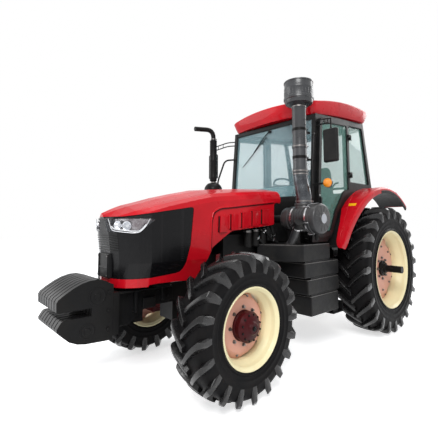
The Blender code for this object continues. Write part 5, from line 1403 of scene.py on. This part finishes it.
def add_tank(node, side):
    bm = bmesh.new()
    for index, (front, rear, low, high) in enumerate(TANK_TIERS):
        outline = tank_outline(front, rear)
        if index == 0:
            outline = [(0.3, 0.762), (0.72, 0.967), (TANK_OUTER, 1.005), (TANK_OUTER, rear),
                       (TANK_INNER, rear)]
        plan_prism(bm, outline, low, high, side)
    body = deliver(bm, node + "_tiers", "black_plastic", 0.016, replaces=(node,))
    body.modifiers["soft_edges"].segments = 4
    # Light grey lines along each tier's top edges: painted highlights where the rounded edges would catch
    # the light.
    bm = bmesh.new()
    for index, (front, rear, low, high) in enumerate(TANK_TIERS):
        corner = TANK_OUTER - EDGE_INSET
        path = places([(0.3, front + EDGE_INSET, high - EDGE_INSET),
                       (corner, front + EDGE_INSET, high - EDGE_INSET),
            (corner, rear - 0.02, high - EDGE_INSET)], side)
        if index == 0:
            path = places([(0.32, 0.777, high - EDGE_INSET), (0.715, 0.972, high - EDGE_INSET),
                           (corner, 1.012, high - EDGE_INSET), (corner, rear - 0.02, high - EDGE_INSET)],
                side)
        sweep(bm, rounded(path, 0.012, 4), 0.005, 8)
    deliver(bm, node + "_painted_edge_highlights", "black_plastic", look=EDGE_HIGHLIGHT_GREY)
    bm = bmesh.new()
    plan_prism(bm, [(TANK_INNER + 0.01, 1.05), (TANK_OUTER - 0.012, 1.05), (TANK_OUTER - 0.012, 1.525),
                    (TANK_INNER, 1.525)], 0.93, 1.06, side)
    plan_prism(bm, [(TANK_INNER + 0.01, 1.15), (TANK_OUTER - 0.012, 1.15), (TANK_OUTER - 0.012, 1.68),
                    (TANK_INNER, 1.68)], 0.47, 0.97, side)
    slab(bm, (0.1905, 1.36, 0.78), (0.29, 1.5, 0.9), side)
    deliver(bm, node + "_core", "black_plastic", replaces=(node,))
    bm = bmesh.new()
    for back in (1.22, 1.5):
        path = places([(0.3, back, 1.2115), (TANK_OUTER + STRAP_PROUD, back, 1.2115),
                       (TANK_OUTER + STRAP_PROUD, back, 0.66)], side)
        sweep(bm, rounded(path, 0.02, 4), (0.0018, 0.016), 4, up=X_AXIS)
    deliver(bm, node + "_straps", "black_metal")
    bm = bmesh.new()
    slab(bm, (0.56, 1.58, 0.395), (0.745, 1.8, 0.41), side)
    slab(bm, (0.56, 1.785, 0.395), (0.745, 1.8, 0.52), side)
    for x in (0.585, 0.72):
        slab(bm, (x, 1.6, 0.4), (x + 0.012, 1.7, 0.6), side)
    deliver(bm, node + "_step", "black_metal", 0.002)


# x, back, up of the filler neck's foot and of its mouth
FILLER_ENDS = [(0.6, 0.985, 1.195), (0.775, 0.9, 1.445)]


def add_filler():
    foot, tip = (Vector(place) for place in places(FILLER_ENDS))
    along = (tip - foot).normalized()
    length = (tip - foot).length
    bm = bmesh.new()
    profile = [(0.058, 0.0), (0.056, 0.026), (0.043, 0.042), (0.042, length * 0.84)]
    solid(bm, profile, 40, foot, along)
    deliver(bm, "filler_neck", "black_plastic", replaces=("fuel_tank",), look=CANISTER)
    bm = bmesh.new()
    cap = [(0.048, length * 0.84), (0.051, length * 0.86), (0.051, length * 1.02), (0.045, length * 1.04)]
    solid(bm, cap, 40, foot, along)
    for spot in ring_of(foot + along * length * 0.94, along, 0.051, 18):
        sweep(bm, [spot - along * 0.018, spot + along * 0.018], 0.002, 6)
    deliver(bm, "filler_cap", "black_plastic", replaces=("fuel_tank",))
    bm = bmesh.new()
    band(bm, foot + along * length * 0.78, along, 0.0425, 0.012)
    deliver(bm, "filler_clamp", "bright_steel")


# back, up of each filter's top
FILTERS = ((0.62, 1.34), (0.74, 1.35), (0.86, 1.36))
FILTER_X = 0.305


def add_filters():
    """Fuel and oil filters with their pipes beside the engine."""
    bm = bmesh.new()
    caps = bmesh.new()
    for back, up in FILTERS:
        solid(bm, [(0.03, -0.16), (0.042, -0.15), (0.042, 0.0)], 28, (FILTER_X, at(back), up), Z_AXIS)
        solid(caps, [(0.046, 0.001), (0.046, 0.022), (0.02, 0.03), (0.014, 0.046)], 28,
              (FILTER_X, at(back), up), Z_AXIS)
    for line in (
        [(0.305, 0.62, 1.38), (0.305, 0.6, 1.43), (0.2, 0.55, 1.45)],
        [(0.305, 0.86, 1.4), (0.33, 0.92, 1.42), (0.24, 0.99, 1.4)],
    ):
        sweep(caps, rounded(places(line), 0.03), 0.008, 8)
    deliver(bm, "engine_filters", "dark_cast")
    deliver(caps, "engine_filter_heads", "bright_steel", look=BOLT)


def add_engine_hoses():
    """Coolant and intake hoses that show under the bonnet's rear edge."""
    hoses = bmesh.new()
    clamps = bmesh.new()
    runs = [
        ([(0.2, 0.93, 1.47), (0.34, 0.95, 1.44), (0.375, 0.97, 1.33), (0.36, 1.02, 1.228)], 0.02),
        ([(0.2, 0.8, 1.4), (0.36, 0.84, 1.37), (0.39, 0.92, 1.26), (0.42, 0.99, 1.225)], 0.013),
        ([(0.2, 0.7, 1.3), (0.35, 0.73, 1.29), (0.37, 0.83, 1.2), (0.33, 0.86, 1.08)], 0.016),
    ]
    for points, radius in runs:
        path = rounded(places(points), 0.05, 8)
        sweep(hoses, path, radius, 18)
        for spot in (0.3, 0.82):
            index = int(len(path) * spot)
            direction = (Vector(path[index + 1]) - Vector(path[index])).normalized()
            band(clamps, Vector(path[index]), direction, radius + 0.0005, 0.012)
    deliver(hoses, "engine_hoses", "black_plastic", look=SEAL)
    deliver(clamps, "engine_hose_clamps", "bright_steel")


# Cab fittings

def pane_loop(node, direction):
    """The outline of a pane's face that looks along a direction, as points in order."""
    bm = bmesh.new()
    bm.from_mesh(NODES[node].data)
    bmesh.ops.remove_doubles(bm, verts=bm.verts, dist=0.00001)
    bm.transform(NODES[node].matrix_world)
    bm.normal_update()
    facing = {face for face in bm.faces if face.normal.dot(direction) > 0.9}
    follow = {}
    for face in facing:
        for loop in face.loops:
            if not any(other in facing and other is not face for other in loop.edge.link_faces):
                follow[loop.vert.index] = (loop.link_loop_next.vert.index, loop.vert.co.copy())
    start = min(follow)
    points = []
    here = start
    for _ in range(len(follow)):
        here, place = follow[here]
        points.append(place)
        if here == start:
            break
    bm.free()
    return points


PANES = [
    # node, body, direction that it looks in, shift along it, seal half height, seal half width
    ("windscreen", "chassis", (0.0, -1.0, 0.09), 0.004, 0.006, 0.013),
    ("rear_window", "chassis", (0.0, 1.0, 0.22), 0.004, 0.006, 0.013),
    ("quarter_glass_left", "chassis", (1.0, 0.0, 0.0), 0.004, 0.006, 0.011),
    ("quarter_glass_right", "chassis", (-1.0, 0.0, 0.0), 0.004, 0.006, 0.011),
    ("door_glass_left", "left_door", (1.0, 0.0, 0.0), 0.003, 0.005, 0.009),
    ("door_glass_right", "right_door", (-1.0, 0.0, 0.0), 0.003, 0.005, 0.009),
]


def add_seals():
    for node, body, direction, shift, tall, wide in PANES:
        direction = Vector(direction).normalized()
        loop = [point + direction * shift for point in pane_loop(node, direction)]
        bm = bmesh.new()
        sweep(bm, loop, (tall, wide), 8, closed=True, up=direction)
        deliver(bm, node + "_seal", "black_plastic", look=SEAL, body=body)


def screen_point(x, up, proud):
    """A point in front of the windscreen."""
    return Vector((x, at(front_back(up) + 0.02) - proud, up))


def add_wiper():
    bm = bmesh.new()
    pivot = screen_point(-0.02, 2.665, 0.02)
    solid(bm, [(0.02, -0.02), (0.02, 0.01), (0.012, 0.016)], 24, pivot, -Y_AXIS)
    middle = screen_point(-0.285, 2.415, 0.022)
    sweep(bm, [pivot + Vector((0.0, -0.012, 0.0)), screen_point(-0.14, 2.56, 0.03), middle],
          (0.004, 0.007), 8)
    sweep(bm, [screen_point(-0.075, 2.6, 0.012), middle + Vector((0.0, 0.008, 0.0)),
               screen_point(-0.495, 2.235, 0.012)], (0.008, 0.005), 8)
    deliver(bm, "windscreen_wiper", "black_metal")


MIRROR_REACH = CAB_HALF + 0.29
MIRROR_ARMS = (2.585, 2.64)
MIRROR_DROP = 0.055


def add_mirrors():
    for name, side in SIDES:
        bm = bmesh.new()
        for up in MIRROR_ARMS:
            path = places([(CAB_HALF + 0.004, 1.405, up), (CAB_HALF + 0.1, 1.345, up),
                           (MIRROR_REACH, 1.24, up - MIRROR_DROP)], side)
            sweep(bm, rounded(path, 0.06, 6), 0.008, 12)
        for share in (0.35, 0.7):
            inner, outer = places([(CAB_HALF + 0.1, 1.345, 2.585), (MIRROR_REACH, 1.24, 2.53)], side)
            start = Vector(inner).lerp(Vector(outer), share)
            sweep(bm, [start, start + Vector((0.0, 0.0, 0.055))], 0.005, 8)
        post = places([(MIRROR_REACH, 1.24, 2.585), (MIRROR_REACH, 1.24, 2.44)], side)
        sweep(bm, post, 0.009, 12)
        deliver(bm, "mirror_brackets_" + name, "black_metal")
        bm = bmesh.new()
        slab(bm, (MIRROR_REACH - 0.085, 1.198, 2.1), (MIRROR_REACH + 0.09, 1.2515, 2.47), side)
        case = deliver(bm, "mirror_case_" + name, "black_plastic", 0.022, replaces=("mirror_" + name,))
        case.modifiers["soft_edges"].segments = 4
        bm = bmesh.new()
        slab(bm, (MIRROR_REACH - 0.068, 1.2505, 2.118), (MIRROR_REACH + 0.073, 1.253, 2.452), side)
        deliver(bm, "mirror_face_" + name, "bright_steel", look=MIRROR_FACE)


TURN_LAMP_X = 0.905
TURN_LAMP_BACK = 1.285
TURN_LAMP_UP = 1.885


def add_turn_lamps():
    for name, side in SIDES:
        bm = bmesh.new()
        place = (side * TURN_LAMP_X, at(TURN_LAMP_BACK + 0.012), TURN_LAMP_UP)
        slab(bm, (CAB_HALF - 0.02, TURN_LAMP_BACK + 0.008, 1.875), (0.93, TURN_LAMP_BACK + 0.02, 1.895),
             side)
        solid(bm, [(0.046, 0.0), (0.052, 0.012), (0.052, 0.03)], 36, place, -Y_AXIS)
        deliver(bm, "turn_lamp_bracket_" + name, "black_plastic", 0.002)
        bm = bmesh.new()
        dome = [(0.0, 0.074), (0.02, 0.072), (0.036, 0.064), (0.047, 0.05), (0.051, 0.0305), (0.0, 0.0305)]
        lathe(bm, dome, 36, place, -Y_AXIS)
        deliver(bm, "turn_lamp_lens_" + name, "lamp_lens", look=AMBER)


def add_rails():
    bm = bmesh.new()
    far = places([(-CAB_HALF + 0.005, 1.375, 2.37), (-CAB_HALF - 0.03, 1.22, 2.345),
                  (-CAB_HALF - 0.03, 1.08, 2.02), (-CAB_HALF - 0.03, 1.1, 1.62),
        (-CAB_HALF + 0.005, 1.29, 1.58)])
    sweep(bm, rounded(far, 0.07, 8), 0.012, 14)
    near = places([(CAB_HALF - 0.005, 1.385, 2.5), (CAB_HALF + 0.035, 1.285, 2.48),
                   (CAB_HALF + 0.035, 1.235, 2.05), (CAB_HALF + 0.035, 1.215, 1.72),
        (CAB_HALF - 0.005, 1.285, 1.7)])
    sweep(bm, rounded(near, 0.05, 8), 0.011, 14)
    deliver(bm, "grab_rails", "black_metal")


HINGE_BOLT_X = 0.7485
HINGE_BOLT_BACK = 1.352 + 0.76
HINGE_BOLT_HEIGHTS = (2.03 + 0.055, 2.53 + 0.055)


def add_door_trim():
    for name, side in SIDES:
        body = name + "_door"
        bm = bmesh.new()
        slab(bm, (DOOR_FACE, 1.352, 1.58), (DOOR_FACE + 0.01, 1.392, 1.8), side)
        slab(bm, (DOOR_FACE + 0.006, 1.36, 1.66), (DOOR_FACE + 0.016, 1.384, 1.7), side)
        deliver(bm, "door_lock_" + name, "black_plastic", 0.003, body=body)
        bm = bmesh.new()
        bolt(bm, (side * (DOOR_FACE + 0.01), at(1.372), 1.765), X_AXIS * side, 0.008, 0.006)
        deliver(bm, "door_key_" + name, "bright_steel", body=body)
        bm = bmesh.new()
        inner = CAB_HALF + 0.002
        path = places([(inner, 1.5, 1.62), (inner - 0.045, 1.52, 1.62), (inner - 0.045, 1.86, 1.94),
                       (inner, 1.88, 1.95)], side)
        sweep(bm, rounded(path, 0.03, 6), 0.01, 12)
        deliver(bm, "door_pull_" + name, "black_metal", body=body)
        bm = bmesh.new()
        for up in HINGE_BOLT_HEIGHTS:
            bolt(bm, (side * HINGE_BOLT_X, at(HINGE_BOLT_BACK), up), X_AXIS * side, 0.006, 0.006)
        deliver(bm, "door_hinge_bolts_" + name, "bright_steel", look=BOLT, body=body)


ROOF_FRONT_HALF = CAB_HALF + 0.01
ROOF_REAR_HALF = CAB_HALF + 0.07
ROOF_CROWN = 0.058
# height, growth at the ends and sides, share of the crown
ROOF_LEVELS = [
    (0.0003, -0.03, -0.03, 0.35), (0.02, -0.02, -0.02, 0.35), (0.06, -0.002, -0.01, 0.55),
    (0.125, 0.025, 0.005, 0.95),
    (0.14, 0.024, 0.003, 1.0), (0.15, 0.015, -0.008, 1.0), (0.16, -0.08, -0.09, 1.0),
    (0.167, -0.28, -0.3, 1.0),
]


def roof_ring(front, rear, grow, wide):
    """One level of the roof seen from above, bowed at its front."""
    fore = ROOF_FRONT_HALF + wide
    aft = ROOF_REAR_HALF + wide
    near = front - grow
    far = rear + grow
    half = []
    for step in range(8):
        x = (fore - 0.08) * step / 7
        half.append((x, near - 0.062 + 0.062 * (x / (fore - 0.08)) ** 2))
    half += [(fore - 0.03, near + 0.022), (fore - 0.01, near + 0.05)]
    for step in range(1, 12):
        share = step / 12
        x = fore - 0.01 + (aft - fore + 0.01) * share + 0.01 * math.sin(math.pi * share)
        half.append((x, near + 0.05 + (far - 0.15 - near) * share))
    half += [(aft, far - 0.1), (aft - 0.02, far - 0.045), (aft - 0.05, far - 0.02), (aft - 0.15, far),
             (aft * 0.4, far)]
    return half + [(-x, y) for x, y in reversed(half[1:])]


def add_roof():
    """The roof's skin, arched along all four edges."""
    corners = [NODES["roof"].matrix_world @ Vector(corner) for corner in NODES["roof"].bound_box]
    front = min(corner.y for corner in corners) + 0.085
    rear = max(corner.y for corner in corners) - 0.025
    middle = (front + rear) / 2
    bm = bmesh.new()
    rings = []
    for up, grow, wide, crown in ROOF_LEVELS:
        ring = []
        for x, y in roof_ring(front, rear, grow, wide):
            across = abs(x) / (ROOF_REAR_HALF + wide)
            along = min(1.0, abs(y - middle) / ((rear - front) / 2))
            arch = 1.0 - min(across, along) ** 2
            ring.append(bm.verts.new((x, y, along_top(y - at(0.0)) + up + ROOF_CROWN * crown * arch)))
        rings.append(ring)
    skin_over(bm, rings)
    deliver(bm, "roof_skin", "red_paint", 0.004, 40.0, ("roof",))
    bm = bmesh.new()
    for x in (-0.36, 0.0, 0.36):
        path = []
        for step in range(11):
            y = front + 0.34 + (rear - front - 0.68) * step / 10
            along = abs(y - middle) / ((rear - front) / 2)
            arch = 1.0 - min(abs(x) / ROOF_REAR_HALF, along) ** 2
            path.append((x, y, along_top(y - at(0.0)) + 0.158 + ROOF_CROWN * arch))
        sweep(bm, path, (0.02, 0.014), 10, up=Z_AXIS)
    deliver(bm, "roof_ribs", "red_paint")


def add_roof_trim():
    """The rear work lamps and the headliner."""
    bm = bmesh.new()
    cases = bmesh.new()
    for side in (1, -1):
        place = Vector((side * 0.5, at(2.66), 2.8))
        block(cases, place + Vector((-0.055, -0.03, -0.035)), place + Vector((0.055, 0.03, 0.035)))
        block(cases, place + Vector((-0.01, -0.04, 0.03)), place + Vector((0.01, 0.0, 0.08)))
        block(bm, place + Vector((-0.048, 0.0302, -0.028)), place + Vector((0.048, 0.036, 0.028)))
    deliver(bm, "work_lamp_lenses", "lamp_lens", 0.002, look=WHITE_LENS)
    deliver(cases, "work_lamp_cases", "black_plastic", 0.003)
    bm = bmesh.new()
    prism(bm, [(1.49, 2.738), (2.51, 2.823), (2.51, 2.833), (1.49, 2.748)], -0.6, 0.6)
    deliver(bm, "headliner", "black_plastic", look=LINER)


# Inside the cab

def add_dash():
    bm = bmesh.new()
    hood = [(1.345, 1.66), (1.56, 1.66), (1.6, 1.7), (1.605, 1.8), (1.57, 1.905), (1.5, 1.925), (1.43, 1.88),
            (1.365, 1.8)]
    prism(bm, hood, -0.34, 0.34)
    deliver(bm, "dash_hood", "black_plastic", 0.02, smooth=50.0, look=TEAL)
    bm = bmesh.new()
    cluster = [(1.53, 1.8), (1.615, 1.79), (1.59, 1.895), (1.53, 1.945), (1.47, 1.9)]
    prism(bm, cluster, -0.15, 0.15)
    deliver(bm, "instrument_cluster", "black_plastic", 0.008)
    bm = bmesh.new()
    facing = Vector((0.0, 0.96, 0.28)).normalized()
    for x, radius in ((0.0, 0.04), (-0.085, 0.026), (0.085, 0.026)):
        solid(bm, [(radius, -0.005), (radius, 0.002)], 32, (x, at(1.605), 1.842), facing)
    deliver(bm, "instrument_dials", "lamp_lens", look=WHITE_LENS)


def add_console():
    bm = bmesh.new()
    prism(bm, [(1.8, 1.262), (2.22, 1.262), (2.22, 1.4), (2.6, 1.44), (2.6, 1.72), (2.1, 1.74),
               (1.88, 1.66)], -0.515, -0.33)
    deliver(bm, "side_console", "black_plastic", 0.015, smooth=50.0, look=TEAL)
    bm = bmesh.new()
    knobs = bmesh.new()
    for x, back, lean in ((-0.48, 2.02, -0.03), (-0.44, 2.1, -0.02), (-0.4, 2.18, -0.02),
                          (-0.46, 2.28, 0.0)):
        top = Vector((x, at(back + lean), 1.9))
        sweep(bm, [(x, at(back), 1.7), top], 0.006, 10)
        lathe(knobs, [(0.0, -0.025), (0.012, -0.022), (0.017, 0.0), (0.013, 0.018), (0.0, 0.024)], 20,
              top, Z_AXIS)
    sweep(bm, rounded(places([(-0.2, 1.75, 1.262), (-0.22, 1.82, 1.55), (-0.2, 1.9, 1.7)]), 0.1, 6),
          0.009, 10)
    lathe(knobs, [(0.0, -0.03), (0.015, -0.026), (0.022, 0.0), (0.016, 0.02), (0.0, 0.026)], 20,
          (-0.2, at(1.9), 1.71), Z_AXIS)
    deliver(bm, "control_levers", "bright_steel")
    deliver(knobs, "lever_knobs", "black_plastic")


MAT_ROWS = 11
MAT_FRONT = 1.38
MAT_PITCH = 0.07
# x, width of each pedal
PEDALS = [(-0.27, 0.07), (0.2, 0.07), (0.3, 0.07)]


def add_pedals():
    bm = bmesh.new()
    pads = bmesh.new()
    for x, width in PEDALS:
        sweep(bm, rounded(places([(x, 1.42, 1.262), (x, 1.46, 1.33), (x, 1.54, 1.375)]), 0.03, 4), 0.008, 8)
        prism(pads, [(1.51, 1.335), (1.52, 1.33), (1.575, 1.415), (1.565, 1.42)], x - width / 2,
              x + width / 2)
    deliver(bm, "pedal_arms", "black_metal")
    deliver(pads, "pedal_pads", "black_plastic", 0.002, look=SEAL)
    bm = bmesh.new()
    for row in range(MAT_ROWS):
        back = MAT_FRONT + row * MAT_PITCH
        slab(bm, (-0.5, back, 1.2612), (0.5, back + 0.025, 1.266))
    deliver(bm, "floor_mat", "black_plastic", look=SEAL)


def cushion(name, low, high, crown, lean=0.0, channels=5):
    """A crowned seat pad: its top swells, its sides pull in and channels cross it."""
    low = Vector(low)
    high = Vector(high)
    centre = (low + high) / 2
    half = (high - low) / 2
    bm = bmesh.new()
    bmesh.ops.create_cube(bm, size=2.0)
    bmesh.ops.subdivide_edges(bm, edges=bm.edges, cuts=23, use_grid_fill=True)
    for vert in bm.verts:
        x, y, z = vert.co
        edge = (1 - abs(x) ** 4) * (1 - abs(y) ** 4)
        swell = crown * (0.35 + 0.65 * edge) * (1.0 if z > 0 else 0.25)
        groove = 0.01 * math.exp(-((((y + 1) * channels / 2) % 1.0 - 0.5) / 0.1) ** 2) * (0.3 + 0.7 * edge)
        thick = half.z - crown + (swell - groove if z > 0 else swell)
        pull = 1.0 - 0.055 * (1 - abs(x)) * (1 - z * z) * (1 if abs(y) > 0.9 else 0)
        corner = 1.0 - 0.1 * max(0.0, abs(x) ** 8 * abs(y) ** 8) - 0.04 * z * z * max(abs(x), abs(y)) ** 6
        vert.co = (x * half.x * corner, y * half.y * corner * pull, z * thick)
    bmesh.ops.rotate(bm, verts=bm.verts, cent=(0, 0, 0), matrix=Matrix.Rotation(lean, 3, "X"))
    bmesh.ops.translate(bm, verts=bm.verts, vec=centre)
    pad = deliver(bm, name, "seat_fabric", smooth=80.0, replaces=("seat",))
    return pad


def add_seat():
    cushion("seat_cushion", (-0.25, at(2.05), 1.585), (0.25, at(2.5), 1.7), 0.03)
    cushion("seat_backrest", (-0.225, at(2.2), 1.905), (0.225, at(2.84), 2.015), 0.028, math.radians(-80), 6)
    bm = bmesh.new()
    for side in (1, -1):
        prism(bm, [(2.2, 1.8), (2.5, 1.83), (2.5, 1.87), (2.2, 1.85)], 0.265, 0.325, side)
        sweep(bm, places([(0.285, 2.47, 1.84), (0.245, 2.52, 1.74)], side), 0.012, 10)
    deliver(bm, "seat_armrests", "black_plastic", 0.01)


# Rear end

def add_rear_fittings():
    bm = bmesh.new()
    slab(bm, (0.09, 2.98, 0.9), (0.22, 3.03, 1.04))
    for index in range(4):
        x = 0.125 + 0.06 * (index % 2)
        up = 0.935 + 0.065 * (index // 2)
        solid(bm, [(0.02, 0.0), (0.02, 0.035), (0.014, 0.04)], 24, (x, at(3.03), up), Y_AXIS)
    deliver(bm, "hydraulic_couplers", "bright_steel")
    bm = bmesh.new()
    guard = [(-0.1, 0.6), (-0.1, 0.765), (0.1, 0.765), (0.1, 0.6)]
    for (x1, z1), (x2, z2) in zip(guard, guard[1:]):
        start = Vector((min(x1, x2) - 0.003, at(2.985), min(z1, z2) - 0.003))
        end = Vector((max(x1, x2) + 0.003, at(3.09), max(z1, z2) + 0.003))
        block(bm, start, end)
    deliver(bm, "shaft_guard", "black_metal")
    bm = bmesh.new()
    solid(bm, [(0.019, 2.985), (0.019, 3.055)], 6, (0.0, FRONT_AXLE_Y, 0.68), Y_AXIS)
    for side in (1, -1):
        for back, up in ((2.75, 0.65), (2.88, 0.6)):
            bolt(bm, (side * 0.262, at(back), up), X_AXIS * side, 0.012, 0.012)
    for spot in ring_of((0.0, at(2.9805), 0.84), Y_AXIS, 0.17, 10, 0.5):
        bolt(bm, spot, Y_AXIS, 0.01, 0.01)
    deliver(bm, "rear_housing_bolts", "bright_steel", look=LOOKS["black_metal"])


def add_axle_fittings():
    bm = bmesh.new()
    for spot in ring_of((0.0, at(-0.112), 0.6), -Y_AXIS, 0.085, 10, 0.5):
        bolt(bm, spot, -Y_AXIS, 0.008, 0.009)
    deliver(bm, "front_axle_bolts", "bright_steel", look=BOLT)
    bm = bmesh.new()
    profile = [(0.0, -0.006), (0.105, -0.006), (0.105, 0.0), (0.09, 0.016), (0.045, 0.03), (0.0, 0.034)]
    lathe(bm, profile, 40, (0.0, at(-0.112), 0.6), -Y_AXIS)
    deliver(bm, "front_axle_cover", "hub_red")


EDGE_ROUNDING = {
    # node: width of its softened edges
    "front_support": 0.004, "radiator": 0.004, "engine": 0.006, "transmission": 0.006,
    "rear_axle_housing": 0.005,
    "front_axle_beam": 0.005, "knuckle_left": 0.003, "knuckle_right": 0.003, "lift_arms": 0.003,
    "lift_rod_left": 0.003, "lift_rod_right": 0.003, "lower_link_left": 0.004, "lower_link_right": 0.004,
    "top_link": 0.003, "cab_frame": 0.003, "door_left": 0.003, "door_right": 0.003,
    "bonnet": 0.0025, "grille": 0.002,
}


def soften_nodes():
    for node, width in EDGE_ROUNDING.items():
        soften(NODES[node], width)


add_camera()
add_lights()
add_world()
add_floor()
dress_nodes()
soften_nodes()
add_wheels()
add_weights()
add_carrier()
add_front_shaft()
add_headlamps()
add_lamp_housings()
add_louvres()
add_nose_trim()
add_fenders()
add_intake()
add_cleaner()
add_exhaust()
add_tank("fuel_tank", 1)
add_tank("battery_box", -1)
add_filler()
add_filters()
add_engine_hoses()
add_seals()
add_wiper()
add_mirrors()
add_turn_lamps()
add_rails()
add_door_trim()
add_roof()
add_roof_trim()
add_dash()
add_console()
add_pedals()
add_seat()
add_rear_fittings()
add_axle_fittings()

scene = bpy.context.scene
scene.view_settings.view_transform = "Standard"
